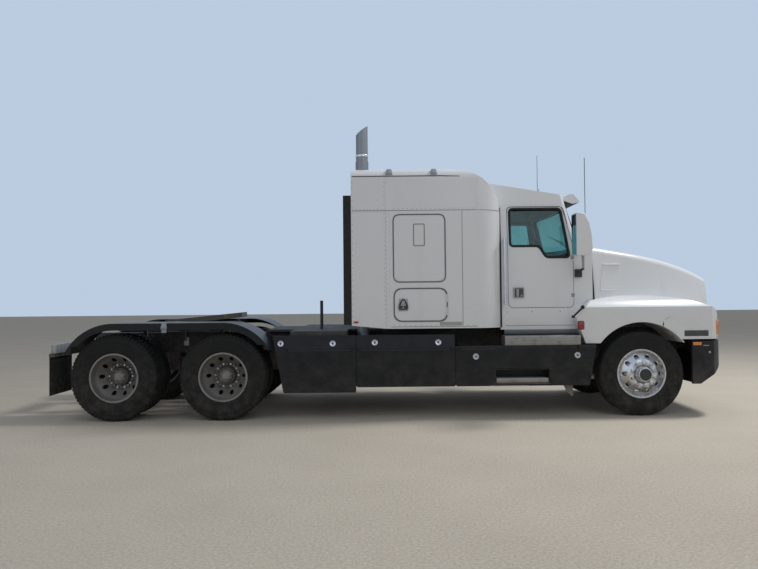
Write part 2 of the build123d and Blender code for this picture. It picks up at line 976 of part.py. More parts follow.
groove_y = sleeper_half_width - gasket_depth
with BuildPart() as grooves:
    for low_y, high_y in ((-wide, -groove_y), (groove_y, wide)):
        panel_round = blank_corner_r - gasket_width
        add(side_prism(blank_corners, blank_corner_r, low_y, high_y))
        add(side_prism(blank_panel_corners, panel_round, low_y, high_y), mode=Mode.SUBTRACT)

with BuildPart() as sleeper_sides:
    add(sleeper_shell.part)
    add(crown_region, mode=Mode.SUBTRACT)
    add(rear_region, mode=Mode.SUBTRACT)
    for low_y, high_y in ((-wide, -half_way_y), (half_way_y, wide)):
        add(side_prism(luggage_corners, luggage_corner_r, low_y, high_y), mode=Mode.SUBTRACT)
    add(grooves.part, mode=Mode.SUBTRACT)
    for sign in (-1, 1):
        add(hinge_pins(luggage_hinge_x, sign * sleeper_half_width, luggage_hinge_zs, hinge_leaf))
save(sleeper_sides.part, "sleeper_sides")

for side, low_y, high_y in (("right", -wide, -half_way_y), ("left", half_way_y, wide)):
    with BuildPart() as luggage_door:
        add(sleeper_outside)
        add(sleeper_inside, mode=Mode.SUBTRACT)
        leaf_round = luggage_corner_r - swing_gap
        add(side_prism(luggage_leaf_corners, leaf_round, low_y, high_y), mode=Mode.INTERSECT)
        sign = side_sign(side)
        latch_z = (luggage_bottom_z + luggage_top_z) / 2
        with Locations((luggage_back_x + latch_inset, sign * sleeper_half_width, latch_z)):
            Box(latch_width, 2 * latch_depth, latch_height, mode=Mode.SUBTRACT)
        with Locations((luggage_back_x + latch_inset, sign * (sleeper_half_width - latch_depth), latch_z)):
            Box(latch_width / 2, latch_depth, latch_height / 3)
        add(hinge_eyes_on(luggage_hinge_x, sign * sleeper_half_width, luggage_hinge_zs))
    save(luggage_door.part, "luggage_door_" + side)

# Floors and the bunk fill the shells wall to wall and stand on the frame
with BuildPart() as cab_floor:
    add(cab_inside)
    add(block((cab_back_x, -wide, cab_bottom_z), (bumper_face_x, wide, cab_bottom_z + floor_thickness)),
        mode=Mode.INTERSECT)
    add(pads(cab_pad_xs, cab_bottom_z))
with BuildPart() as bunk_board:
    add(sleeper_inside)
    add(block((sleeper_back_x, -wide, bunk_z), (bunk_front_x, wide, bunk_z + bunk_board_thickness)),
        mode=Mode.INTERSECT)
    bunk_half = sleeper_half_width - cab_wall
    add(block((bunk_front_x - bunk_board_thickness, -bunk_half, sleeper_bottom_z + floor_thickness),
              (bunk_front_x, bunk_half, bunk_z)))
with BuildPart() as sleeper_floor:
    add(sleeper_inside)
    add(block((sleeper_back_x, -wide, sleeper_bottom_z),
              (cab_back_x - fit_gap, wide, sleeper_bottom_z + floor_thickness)), mode=Mode.INTERSECT)
    add(pads(sleeper_pad_xs, sleeper_bottom_z))
    add(bunk_board.part)
with BuildPart() as floors:
    add(cab_floor.part)
    add(sleeper_floor.part)
    for sign in (-1, 1):
        with Locations((seat_x, sign * seat_y, cab_bottom_z + floor_thickness)):
            Box(seat_post_width, seat_post_width, seat_base_z - fit_gap - cab_bottom_z - floor_thickness,
                align=(Align.CENTER, Align.CENTER, Align.MIN))
save(floors.part, "cab_floor")

# The hood: one thin shell with its fenders, wheel-arch liners and hinge eyes
hood_outside = hood_form(0)
grille_corners = (
    (-grille_low_half, grille_low_z),
    (grille_low_half, grille_low_z),
    (grille_high_half, grille_high_z),
    (-grille_high_half, grille_high_z),
)
lamp_corners = (
    (lamp_inner_y, lamp_low_z),
    (lamp_split_y, lamp_low_z),
    (lamp_split_y, lamp_high_z),
    (lamp_inner_y, lamp_inner_high_z),
)
turn_corners = (
    (lamp_split_y + lamp_gap, lamp_low_z),
    (wide, lamp_low_z),
    (wide, lamp_high_z),
    (lamp_split_y + lamp_gap, lamp_high_z),
)
front_zone_x = hood_face_x - plan_corner_drop + lamp_wrap
grille_hole = front_prism(grille_corners, grille_corner_r, front_zone_x, bumper_face_x)
lamp_hole = front_prism(lamp_corners, 0, front_zone_x, bumper_face_x)
turn_hole = front_prism(turn_corners, 0, front_zone_x, bumper_face_x)
between_wheels = block((front_axle_x - 2 * arch_r, -arch_inner_y, 0),
                       (front_axle_x + 2 * arch_r, arch_inner_y, 2 * wide))
with BuildPart() as arch:
    with BuildSketch(Plane.XZ):
        with Locations((front_axle_x, steer_tyre_r)):
            Circle(arch_r)
    extrude(amount=wide, both=True)
with BuildPart() as liner:
    with BuildSketch(Plane.XZ):
        with Locations((front_axle_x, steer_tyre_r)):
            Circle(arch_r + hood_wall)
    extrude(amount=wide, both=True)
    add(between_wheels, mode=Mode.SUBTRACT)
    add(fender_form(0), mode=Mode.INTERSECT)
    add(arch.part, mode=Mode.SUBTRACT)
with BuildPart() as arch_cut:
    add(arch.part)
    add(between_wheels, mode=Mode.SUBTRACT)
with BuildPart() as hinge_eyes:
    for sign in (-1, 1):
        with BuildSketch(Plane.XZ.offset(-sign * hood_eye_y)):
            with Locations((hood_hinge_x, hood_hinge_z)):
                Circle(hood_eye_r)
            with BuildLine():
                Polyline(
                    (hood_hinge_x, hood_hinge_z - hood_eye_r),
                    (hood_face_x - hood_wall / 2, hood_hinge_z - hood_eye_r),
                    (hood_face_x - hood_wall / 2, hood_hinge_z + 3 * hood_eye_r),
                    (hood_hinge_x, hood_hinge_z + hood_eye_r),
                    close=True,
                )
            make_face()
            with Locations((hood_hinge_x, hood_hinge_z)):
                Circle(hood_pin_r + pin_gap, mode=Mode.SUBTRACT)
        extrude(amount=hood_eye_width / 2, both=True)
with BuildPart() as hood:
    add(hood_outside)
    add(hood_form(hood_wall), mode=Mode.SUBTRACT)
    add(cab_form(-hood_gap), mode=Mode.SUBTRACT)
    add(block((front_axle_x, -wide, 0), (bumper_face_x, wide, fender_toe_z)), mode=Mode.SUBTRACT)
    add(arch_cut.part, mode=Mode.SUBTRACT)
    add(liner.part)
    add(hinge_eyes.part)
    add(grille_hole, mode=Mode.SUBTRACT)
    for hole in (lamp_hole, turn_hole):
        add(hole, mode=Mode.SUBTRACT)
        add(hole.mirror(Plane.XZ), mode=Mode.SUBTRACT)
save(hood.part, "hood")

# The grille is a band of the hood's own skin, slotted on both sides of a middle bar
bar_pitch = (grille_high_z - grille_low_z - grille_rim) / grille_bar_count
slot_corners = tuple((y - grille_rim * (1 if y > 0 else -1), z) for y, z in grille_corners)
with BuildPart() as slots:
    for bar in range(grille_bar_count):
        slot_z = grille_low_z + grille_rim + bar * bar_pitch
        for low_y, high_y in ((-grille_low_half + grille_rim, -grille_rim / 2),
                              (grille_rim / 2, grille_low_half - grille_rim)):
            add(block((front_zone_x, low_y, slot_z),
                      (bumper_face_x, high_y, slot_z + bar_pitch - grille_bar)))
    add(front_prism(slot_corners, 0, front_zone_x, bumper_face_x), mode=Mode.INTERSECT)
with BuildPart() as grille:
    add(hood_outside)
    add(hood_form(grille_depth), mode=Mode.SUBTRACT)
    add(grille_hole, mode=Mode.INTERSECT)
    add(slots.part, mode=Mode.SUBTRACT)
save(grille.part, "grille")

for hole, name in ((lamp_hole, "headlamps"), (turn_hole, "turn_lamps")):
    with BuildPart() as lenses:
        add(hood_outside)
        add(hood_form(lamp_depth), mode=Mode.SUBTRACT)
        add(hole, mode=Mode.INTERSECT)
        mirror(about=Plane.XZ)
    save(lenses.part, name)

# The bumper wraps round the nose below the hood
bumper_inside = bumper_form(bumper_wall)
with BuildPart() as bumper:
    add(bumper_form(0))
    add(bumper_inside, mode=Mode.SUBTRACT)
    with BuildSketch(Plane.YZ.offset(tow_collar_back_x)):
        with Locations((-tow_hole_y, tow_hole_z), (tow_hole_y, tow_hole_z)):
            Circle(tow_collar_r)
    extrude(amount=tow_collar_face_x - tow_collar_back_x)
    with BuildSketch(Plane.YZ.offset(front_axle_x + 900)):
        with Locations((-tow_hole_y, tow_hole_z), (tow_hole_y, tow_hole_z)):
            Circle(tow_hole_r)
    extrude(amount=front_overhang, mode=Mode.SUBTRACT)
save(bumper.part, "bumper")


def around_axle(axle_x, axle_z):
    """The half plane in which a wheel's section is drawn: across, then outwards."""
    return Plane(origin=(axle_x, 0, axle_z), x_dir=(0, 1, 0), z_dir=(1, 0, 0))


def tyre(axle_x, tyre_r, width, middle_y):
    """One tyre, bead to tread."""
    swell_r = (tyre_r + rim_flange_r) / 2
    with BuildPart() as ring:
        with BuildSketch(around_axle(axle_x, tyre_r)):
            with BuildLine():
                Polyline(
                    (middle_y, tyre_r),
                    (middle_y + tread_half, tyre_r),
                    (middle_y + tread_half + shoulder_run, tyre_r - shoulder_drop),
                )
                ThreePointArc(
                    (middle_y + tread_half + shoulder_run, tyre_r - shoulder_drop),
                    (middle_y + width / 2, swell_r),
                    (middle_y + rim_half_width, rim_flange_r + pin_gap),
                )
                Polyline(
                    (middle_y + rim_half_width, rim_flange_r + pin_gap),
                    (middle_y + rim_half_width, rim_seat_r),
                    (middle_y, rim_seat_r),
                    (middle_y, tyre_r),
                )
            make_face()
            mirror(about=Plane(origin=(middle_y, 0, 0), z_dir=(1, 0, 0)))
        revolve(axis=Axis((axle_x, 0, tyre_r), (0, 1, 0)))
    return ring.part


def rim_profile(middle_y, out, face_y, root_y):
    """Section of a disc wheel: barrel with two flanges, and a dished disc.

    out is the way its disc looks (+1 or -1), face_y the disc's clamping face and
    root_y where the disc leaves the barrel.
    """
    edge = rim_half_width + rim_flange_width
    thick = disc_thickness * out
    Polygon(
        (middle_y - edge, rim_flange_r),
        (middle_y - edge, rim_seat_r - rim_wall),
        (middle_y + edge, rim_seat_r - rim_wall),
        (middle_y + edge, rim_flange_r),
        (middle_y + rim_half_width, rim_flange_r),
        (middle_y + rim_half_width, rim_seat_r),
        (middle_y - rim_half_width, rim_seat_r),
        (middle_y - rim_half_width, rim_flange_r),
        align=None,
    )
    Polygon(
        (root_y, rim_seat_r - rim_wall / 2),
        (root_y - thick, rim_seat_r - rim_wall / 2),
        (face_y, disc_flat_r),
        (face_y, hub_bore_r),
        (face_y + thick, hub_bore_r),
        (face_y + thick, disc_flat_r - 8),
        align=None,
    )


def hand_holes(axle_x, axle_z, low_y, high_y):
    """The ring of holes through a wheel's disc."""
    with BuildPart() as holes:
        with BuildSketch(Plane(origin=(axle_x, low_y, axle_z), x_dir=(1, 0, 0), z_dir=(0, 1, 0))):
            with PolarLocations(hand_hole_circle_r, hand_hole_count):
                RegularPolygon(hand_hole_r, 8)
        extrude(amount=high_y - low_y)
    return holes.part


def studs(axle_x, axle_z, low_y, high_y):
    """The ring of wheel nuts."""
    with BuildPart() as ring:
        with BuildSketch(Plane(origin=(axle_x, low_y, axle_z), x_dir=(1, 0, 0), z_dir=(0, 1, 0))):
            with PolarLocations(stud_circle_r, hand_hole_count, start_angle=18):
                RegularPolygon(nut_r, 6)
        extrude(amount=high_y - low_y)
    return ring.part


# Front wheels: a polished disc that bulges outwards, and a capped hub
for side in ("right", "left"):
    sign = side_sign(side)
    middle_y = sign * steer_wheel_y
    face_y = middle_y + sign * steer_disc_offset
    spin = Axis((front_axle_x, 0, steer_tyre_r), (0, 1, 0))
    save(tyre(front_axle_x, steer_tyre_r, steer_tyre_width, middle_y), "tyre_front_" + side)
    with BuildPart() as rim:
        with BuildSketch(around_axle(front_axle_x, steer_tyre_r)):
            rim_profile(middle_y, sign, face_y, middle_y + sign * steer_root_offset)
            Polygon(
                (face_y - sign * hub_flange, spindle_r + fit_gap),
                (face_y - sign * hub_flange, disc_flat_r - 20),
                (face_y, disc_flat_r - 20),
                (face_y, hub_bore_r),
                (face_y + sign * hub_cap_length, hub_cap_r),
                (face_y + sign * hub_cap_length, spindle_r + fit_gap),
                align=None,
            )
            Polygon(
                (face_y + sign * (hub_cap_length - hub_cap_wall), 0),
                (face_y + sign * (hub_cap_length - hub_cap_wall), hub_cap_r),
                (face_y + sign * hub_cap_length, hub_cap_r),
                (face_y + sign * hub_cap_length, 0),
                align=None,
            )
            Polygon(
                (face_y - sign * hub_flange, steer_drum_r - 20),
                (face_y - sign * hub_flange, steer_drum_r),
                (sign * steer_drum_y, steer_drum_r),
                (sign * steer_drum_y, steer_drum_r - 20),
                align=None,
            )
            Polygon(
                (face_y - sign * hub_flange, steer_drum_r),
                (face_y - sign * (hub_flange + 15), steer_drum_r),
                (face_y - sign * (hub_flange + 15), spindle_r + fit_gap),
                (face_y - sign * hub_flange, spindle_r + fit_gap),
                align=None,
            )
        revolve(axis=spin)
        low_y, high_y = sorted((face_y - sign * 60, face_y + sign * disc_thickness * 2))
        add(hand_holes(front_axle_x, steer_tyre_r, low_y, high_y), mode=Mode.SUBTRACT)
        nut_root_y = face_y + sign * disc_thickness
        low_y, high_y = sorted((nut_root_y, nut_root_y + sign * nut_height))
        add(studs(front_axle_x, steer_tyre_r, low_y, high_y))
    save(rim.part, "rim_front_" + side)

# Drive wheels: two back to back on each hub, turning as one
for number, axle_x in enumerate(drive_axle_xs, 1):
    for side in ("right", "left"):
        sign = side_sign(side)
        spin = Axis((axle_x, 0, drive_tyre_r), (0, 1, 0))
        face_y = sign * dual_face_y
        outer_y = sign * outer_tyre_y
        inner_y = sign * (outer_tyre_y - dual_spacing)
        with BuildPart() as pair:
            for middle_y in (outer_y, inner_y):
                add(tyre(axle_x, drive_tyre_r, drive_tyre_width, middle_y))
        save(pair.part, "tyres_drive_%d_%s" % (number, side))
        with BuildPart() as rims:
            with BuildSketch(around_axle(axle_x, drive_tyre_r)):
                rim_profile(outer_y, sign, face_y, outer_y - sign * drive_root_offset)
                rim_profile(inner_y, -sign, face_y, inner_y + sign * drive_root_offset)
                Polygon(
                    (face_y - sign * drive_drum_depth, half_shaft_r + fit_gap),
                    (face_y - sign * drive_drum_depth, drive_drum_r),
                    (face_y - sign * (disc_thickness + 12), drive_drum_r),
                    (face_y - sign * (disc_thickness - 1), hub_bore_r + 1),
                    (face_y + sign * drive_hub_length, hub_bore_r - 10),
                    (face_y + sign * drive_hub_length, half_shaft_r + fit_gap),
                    align=None,
                )
                Polygon(
                    (face_y + sign * drive_hub_length, 0),
                    (face_y + sign * drive_hub_length, drive_flange_r),
                    (face_y + sign * (drive_hub_length + 14), drive_flange_r),
                    (face_y + sign * (drive_hub_length + 44), drive_flange_r / 2),
                    (face_y + sign * (drive_hub_length + 44), 0),
                    align=None,
                )
            revolve(axis=spin)
            low_y, high_y = sorted((face_y - sign * 5, outer_y - sign * drive_root_offset))
            add(hand_holes(axle_x, drive_tyre_r, low_y, high_y), mode=Mode.SUBTRACT)
            nut_root_y = face_y + sign * disc_thickness
            low_y, high_y = sorted((nut_root_y, nut_root_y + sign * nut_height))
            add(studs(axle_x, drive_tyre_r, low_y, high_y))
        save(rims.part, "rims_drive_%d_%s" % (number, side))


def rod(start, end, radius):
    """A round bar between two points."""
    with BuildPart() as bar:
        with BuildSketch(Plane(origin=start, z_dir=Vector(*end) - Vector(*start))):
            Circle(radius)
        extrude(amount=(Vector(*end) - Vector(*start)).length)
    return bar.part


# Brackets run from the rails to the inside of the bumper's face
with BuildPart() as bumper_brackets:
    for sign in (-1, 1):
        low_y, high_y = sorted((sign * (rail_half_width - rail_flange), sign * rail_half_width))
        add(block((frame_front_x - hinge_plate_run, low_y, bumper_bracket_z),
                  (bumper_face_x, high_y, bumper_bracket_z + bumper_bracket_height)))
    add(bumper_inside, mode=Mode.INTERSECT)

# Frame: two channel rails, crossmembers and the hood's hinge pins
with BuildPart() as frame_rails:
    with BuildSketch(Plane.YZ.offset(frame_back_x)):
        for sign in (-1, 1):
            web_y = sign * (rail_half_width - rail_wall / 2)
            flange_y = sign * (rail_half_width - rail_flange / 2)
            with Locations((web_y, rail_top_z - rail_depth / 2)):
                Rectangle(rail_wall, rail_depth)
            with Locations((flange_y, rail_top_z - rail_wall / 2),
                           (flange_y, rail_bottom_z + rail_wall / 2)):
                Rectangle(rail_flange, rail_wall)
    extrude(amount=frame_front_x - frame_back_x)
    for station in crossmember_xs:
        with Locations((station, 0, rail_top_z - rail_depth / 2)):
            Box(crossmember_width, 2 * rail_half_width - rail_wall, crossmember_height)
            Box(crossmember_width, 2 * (rail_half_width - rail_flange), crossmember_height - 2 * rail_wall,
                mode=Mode.SUBTRACT)
            Box(rail_wall, 2 * (rail_half_width - rail_flange), crossmember_height - 2 * rail_wall)
    add(bumper_brackets.part)
    with Locations((frame_front_x - hinge_plate_run / 2, 0, front_beam_z)):
        Box(hinge_plate_run, 2 * rail_half_width - rail_wall, hinge_plate_run)
    for sign in (-1, 1):
        pin_y = sign * hood_eye_y
        plate_y = sign * (hood_eye_y - hood_eye_width / 2 - 2)
        with BuildSketch(Plane.XZ.offset(-plate_y)):
            Polygon(
                (frame_front_x - hinge_plate_run, front_beam_z),
                (frame_front_x, front_beam_z),
                (frame_front_x + 6, hood_hinge_z - hood_pin_r - 1),
                (hood_hinge_x, hood_hinge_z - hood_pin_r - 1),
                (hood_hinge_x, hood_hinge_z + hood_pin_r + 1),
                (frame_front_x - hinge_plate_run, hood_hinge_z + hood_pin_r + 1),
                align=None,
            )
            with Locations((hood_hinge_x, hood_hinge_z)):
                Circle(hood_pin_r + 1)
        extrude(amount=sign * 12)
        with BuildSketch(Plane.XZ.offset(-pin_y)):
            with Locations((hood_hinge_x, hood_hinge_z)):
                Circle(hood_pin_r)
        extrude(amount=hood_eye_width / 2 + 6, both=True)
    add(bumper.part, mode=Mode.SUBTRACT)
save(frame_rails.part, "frame_rails")

# Front axle: an I-beam with eyes for the kingpins
kingpin_z = steer_tyre_r
with BuildPart() as front_axle:
    with BuildSketch(Plane.YZ.offset(front_axle_x)):
        with BuildLine():
            Polyline(
                (0, beam_low_z),
                (beam_flat_y, beam_low_z),
                (beam_rise_y, kingpin_z - eye_height / 2),
                (kingpin_y, kingpin_z - eye_height / 2),
                (kingpin_y, kingpin_z + eye_height / 2),
                (beam_rise_y - 30, kingpin_z + eye_height / 2),
                (beam_flat_y - 20, beam_low_z + beam_height),
                (0, beam_low_z + beam_height),
                close=True,
            )
        make_face()
        mirror(about=Plane.YZ)
    extrude(amount=beam_width / 2, both=True)
    for sign in (-1, 1):
        with Locations((front_axle_x, sign * kingpin_y, kingpin_z)):
            Cylinder(eye_r, eye_height)
    with Locations((front_axle_x + beam_web / 2, 0, beam_low_z + beam_height / 2)):
        Box(beam_width, beam_pocket, beam_height - 2 * beam_flange,
            align=(Align.MIN, Align.CENTER, Align.CENTER), mode=Mode.SUBTRACT)
    with Locations((front_axle_x - beam_web / 2, 0, beam_low_z + beam_height / 2)):
        Box(beam_width, beam_pocket, beam_height - 2 * beam_flange,
            align=(Align.MAX, Align.CENTER, Align.CENTER), mode=Mode.SUBTRACT)
    for sign in (-1, 1):
        with Locations((front_axle_x, sign * kingpin_y, kingpin_z)):
            Cylinder(kingpin_r + fit_gap, eye_height, mode=Mode.SUBTRACT)
save(front_axle.part, "front_axle")

# Leaf springs between the axle's pads and the rails' hangers
beam_top_z = beam_low_z + beam_height
spring_y = rail_half_width - rail_flange / 2
with BuildPart() as front_springs:
    with BuildSketch(Plane.XZ.offset(spring_y - spring_width / 2)):
        with BuildLine():
            low = ThreePointArc(
                (front_axle_x - spring_reach, spring_eye_z),
                (front_axle_x, beam_top_z + spring_seat),
                (front_axle_x + spring_reach, spring_eye_z),
            )
            high = ThreePointArc(
                (front_axle_x + spring_reach, spring_eye_z + leaf_pack / 2),
                (front_axle_x, beam_top_z + spring_seat + leaf_pack),
                (front_axle_x - spring_reach, spring_eye_z + leaf_pack / 2),
            )
            Line(low @ 1, high @ 0)
            Line(high @ 1, low @ 0)
        make_face()
    extrude(amount=spring_width)
    with Locations((front_axle_x, -spring_y, beam_top_z)):
        Box(beam_width, spring_width, spring_seat + leaf_pack / 2, align=standing)
    for end in (-1, 1):
        with Locations((front_axle_x + end * spring_reach, -spring_y, shackle_low_z)):
            Box(shackle_length, spring_width, rail_bottom_z - shackle_low_z, align=standing)
    mirror(about=Plane.XZ)
save(front_springs.part, "front_springs")

# Knuckles turn on the kingpins; their arms point back to the tie rod
for side in ("right", "left"):
    sign = side_sign(side)
    with BuildPart() as knuckle:
        with Locations((front_axle_x, sign * kingpin_y, kingpin_z)):
            Cylinder(kingpin_r, eye_height + 2 * yoke_height)
        for lug in (-1, 1):
            lug_middle_z = kingpin_z + lug * (eye_height / 2 + yoke_height / 2 + 1)
            with Locations((front_axle_x, sign * kingpin_y, lug_middle_z)):
                Cylinder(eye_r, yoke_height)
            low_y, high_y = sorted((sign * kingpin_y, sign * yoke_y))
            lug_z = kingpin_z + lug * (eye_height / 2 + 1)
            low_z, high_z = sorted((lug_z, lug_z + lug * yoke_height))
            add(block((front_axle_x - eye_r, low_y, low_z), (front_axle_x + eye_r, high_y, high_z)))
        low_y, high_y = sorted((sign * (kingpin_y + eye_r + 5), sign * (yoke_y + 20)))
        add(block((front_axle_x - eye_r, low_y, kingpin_z - eye_height / 2 - yoke_height),
                  (front_axle_x + eye_r, high_y, kingpin_z + eye_height / 2 + yoke_height)))
        spindle_end_y = sign * (steer_wheel_y + steer_disc_offset + hub_cap_length - hub_cap_wall - 10)
        add(rod((front_axle_x, sign * yoke_y, kingpin_z), (front_axle_x, spindle_end_y, kingpin_z),
                spindle_r))
        arm_z = kingpin_z - eye_height / 2 - yoke_height
        low_y, high_y = sorted((sign * (kingpin_y - steer_arm_half), sign * (kingpin_y + steer_arm_half)))
        add(block((front_axle_x - steer_arm, low_y, arm_z), (front_axle_x, high_y, arm_z + yoke_height - 1)))
        with Locations((front_axle_x - steer_arm, sign * kingpin_y, arm_z)):
            Cylinder(steer_arm_half, yoke_height - 1, align=standing)
            Cylinder(tie_pin_r + pin_gap, yoke_height, align=standing, mode=Mode.SUBTRACT)
    save(knuckle.part, "knuckle_" + side)

with BuildPart() as tie_rod:
    arm_z = kingpin_z - eye_height / 2 - yoke_height
    rod_x = front_axle_x - steer_arm
    rod_z = arm_z - tie_end_r
    add(rod((rod_x, -kingpin_y, rod_z), (rod_x, kingpin_y, rod_z), tie_rod_r))
    for sign in (-1, 1):
        with Locations((rod_x, sign * kingpin_y, rod_z)):
            Cylinder(tie_end_r, 2 * tie_rod_r + 6)
            Cylinder(tie_pin_r, tie_end_r + yoke_height, align=standing)
save(tie_rod.part, "tie_rod")

# Engine with its gearbox as one plain block, and the radiator ahead of it
with BuildPart() as engine:
    with BuildSketch(Plane.YZ.offset(engine_back_x)):
        Polygon(
            (-engine_low_half, engine_low_z),
            (engine_low_half, engine_low_z),
            (engine_low_half, rail_top_z),
            (engine_high_half, rail_top_z),
            (engine_high_half, engine_high_z - 120),
            (engine_high_half - 160, engine_high_z),
            (160 - engine_high_half, engine_high_z),
            (-engine_high_half, engine_high_z - 120),
            (-engine_high_half, rail_top_z),
            (-engine_low_half, rail_top_z),
            align=None,
        )
    extrude(amount=engine_front_x - engine_back_x)
    add(block((gearbox_back_x, -gearbox_width / 2, gearbox_z - gearbox_height / 2),
              (engine_back_x, gearbox_width / 2, gearbox_z + gearbox_height / 2)))
save(engine.part, "engine")
radiator = block((radiator_x, -radiator_half, rail_top_z),
                 (radiator_x + radiator_thickness, radiator_half, radiator_top_z))
save(radiator, "radiator")

# Drive axles with their tubes, and the shafts that drive them
with BuildPart() as drive_axles:
    for axle_x in drive_axle_xs:
        add(rod((axle_x, -axle_tube_y, drive_tyre_r), (axle_x, axle_tube_y, drive_tyre_r), axle_tube_r))
        add(rod((axle_x, -axle_end_y, drive_tyre_r), (axle_x, axle_end_y, drive_tyre_r), half_shaft_r))
        with Locations((axle_x, 0, drive_tyre_r)):
            Sphere(differential_r)
        add(rod((axle_x, 0, pinion_z), (axle_x + pinion_reach, 0, pinion_z), pinion_r))
    add(rod((drive_axle_xs[1], 0, pinion_z), (drive_axle_xs[0], 0, pinion_z), shaft_r))
    add(rod((drive_axle_xs[0] + pinion_reach, 0, pinion_z), (gearbox_back_x, 0, gearbox_z), shaft_r))
    add(engine.part, mode=Mode.SUBTRACT)
save(drive_axles.part, "drive_axles")

# Air suspension: an arm under each rail, an air spring behind each axle
arms_low_z = drive_tyre_r + axle_tube_r
with BuildPart() as suspension_arms:
    for axle_x in drive_axle_xs:
        with BuildSketch(Plane.XZ.offset(spring_y - arm_width / 2)):
            Polygon(
                (axle_x + hanger_reach + 60, arms_low_z - 60),
                (axle_x + hanger_reach + 60, rail_bottom_z),
                (axle_x + hanger_reach - 80, rail_bottom_z),
                (axle_x + hanger_reach - 60, arms_low_z + arm_height),
                (axle_x - 60, arms_low_z + arm_height),
                (axle_x - bag_reach + bag_r + 30, arms_low_z + arm_drop + arm_height),
                (axle_x - bag_reach - bag_r, arms_low_z + arm_drop + arm_height),
                (axle_x - bag_reach - bag_r, arms_low_z + arm_drop),
                (axle_x - bag_reach + bag_r, arms_low_z + arm_drop),
                (axle_x - 80, arms_low_z),
                (axle_x + 80, arms_low_z),
                (axle_x + hanger_reach - 60, arms_low_z - 60),
                align=None,
            )
        extrude(amount=arm_width)
    mirror(about=Plane.XZ)
save(suspension_arms.part, "suspension_arms")
bag_low_z = arms_low_z + arm_drop + arm_height
with BuildPart() as air_springs:
    for axle_x in drive_axle_xs:
        for sign in (-1, 1):
            bag_middle = (axle_x - bag_reach, sign * spring_y, 0)
            with BuildSketch(Plane(origin=bag_middle, x_dir=(1, 0, 0), z_dir=(0, -1, 0))):
                with BuildLine():
                    Polyline(
                        (bag_end_r, rail_bottom_z),
                        (0, rail_bottom_z),
                        (0, bag_low_z),
                        (bag_end_r, bag_low_z),
                    )
                    ThreePointArc(
                        (bag_end_r, bag_low_z),
                        (bag_r, (bag_low_z + rail_bottom_z) / 2),
                        (bag_end_r, rail_bottom_z),
                    )
                make_face()
            revolve(axis=Axis(bag_middle, (0, 0, 1)))
save(air_springs.part, "air_springs")

# Fuel tanks hang beside the rails on brackets
with BuildPart() as fuel_tanks:
    tank_y = rail_half_width + tank_gap + tank_r
    with BuildSketch(Plane.YZ.offset(tank_back_x)):
        with Locations((tank_y, tank_z)):
            Circle(tank_r)
    extrude(amount=tank_length)
    fillet(fuel_tanks.edges().filter_by(GeomType.CIRCLE), tank_edge_r)
    for station in (tank_back_x + 180, tank_back_x + tank_length - 180):
        with Locations((station, rail_half_width, tank_z)):
            Box(70, tank_gap + tank_r / 2, 300, align=(Align.CENTER, Align.MIN, Align.CENTER))
    mirror(about=Plane.XZ)
save(fuel_tanks.part, "fuel_tanks")


def skirt_panel(back_top_x, back_low_x, front_top_x, front_low_x, low_z, top_z):
    """One skirt panel of the right side, cut to its side-view outline."""
    corners = ((back_low_x, low_z), (front_low_x, low_z), (front_top_x, top_z), (back_top_x, top_z))
    with BuildPart() as panel:
        with BuildSketch(Plane.YZ.offset(back_top_x)):
            Polygon(
                (-skirt_y, low_z),
                (-skirt_y, crease_z),
                (-skirt_y + crease_lean, skirt_top_z),
                (-skirt_y + crease_lean + skirt_wall, skirt_top_z),
                (-skirt_y + skirt_wall, crease_z),
                (-skirt_y + skirt_wall, low_z),
                align=None,
            )
        extrude(amount=front_top_x - back_top_x)
        add(side_prism(corners, skirt_corner_r, -wide, 0), mode=Mode.INTERSECT)
    return panel.part


# Side skirts: three panels a side, creased along their upper third
with BuildPart() as side_skirts:
    for row in skirt_panels:
        add(skirt_panel(*row))
    for station in skirt_stay_xs:
        with Locations((station, -rail_half_width, skirt_stay_z)):
            Box(stay_size, skirt_y - skirt_wall - rail_half_width + crease_lean, stay_size,
                align=(Align.CENTER, Align.MAX, Align.CENTER))
    add(block((step_back_x, -wide, lower_step_z), (step_front_x, skirt_wall + 1 - skirt_y, lower_step_top_z)),
        mode=Mode.SUBTRACT)
    mirror(about=Plane.XZ)
save(side_skirts.part, "side_skirts")

# Steps and grab bars, beside both doors
with BuildPart() as steps_and_grabs:
    add(block((step_back_x + 2, -skirt_y, lower_step_z + 2),
              (step_front_x - 2, -skirt_y + step_depth, lower_step_top_z - 2)))
    add(block((step_back_x + 16, -skirt_y - 1, lower_step_z + 50),
              (step_front_x - 16, -skirt_y + step_depth - 14, lower_step_top_z - 16)), mode=Mode.SUBTRACT)
    add(block((upper_step_back_x + 60, -skirt_y + step_depth - 20, lower_step_top_z - 40),
              (step_front_x - 80, -skirt_y + step_depth, upper_step_z + 20)))
    add(block((upper_step_back_x, -skirt_y - 4, skirt_step_z + 2),
              (upper_step_front_x, -skirt_y + 250, upper_step_top_z)))
    add(block((upper_step_back_x + 100, -skirt_y + 240, upper_step_z + 20),
              (upper_step_front_x - 100, -rail_half_width, upper_step_z + 60)))
    for low, high in grab_bars:
        low_y = -cab_half_width - grab_stand
        add(rod((grab_x, low_y, low), (grab_x, low_y, high), grab_r))
        for end_z in (low + grab_inset, high - grab_inset):
            add(rod((grab_x, low_y, end_z), (grab_x, -cab_half_width, end_z), grab_foot_r))
    mirror(about=Plane.XZ)
save(steps_and_grabs.part, "steps_and_grabs")

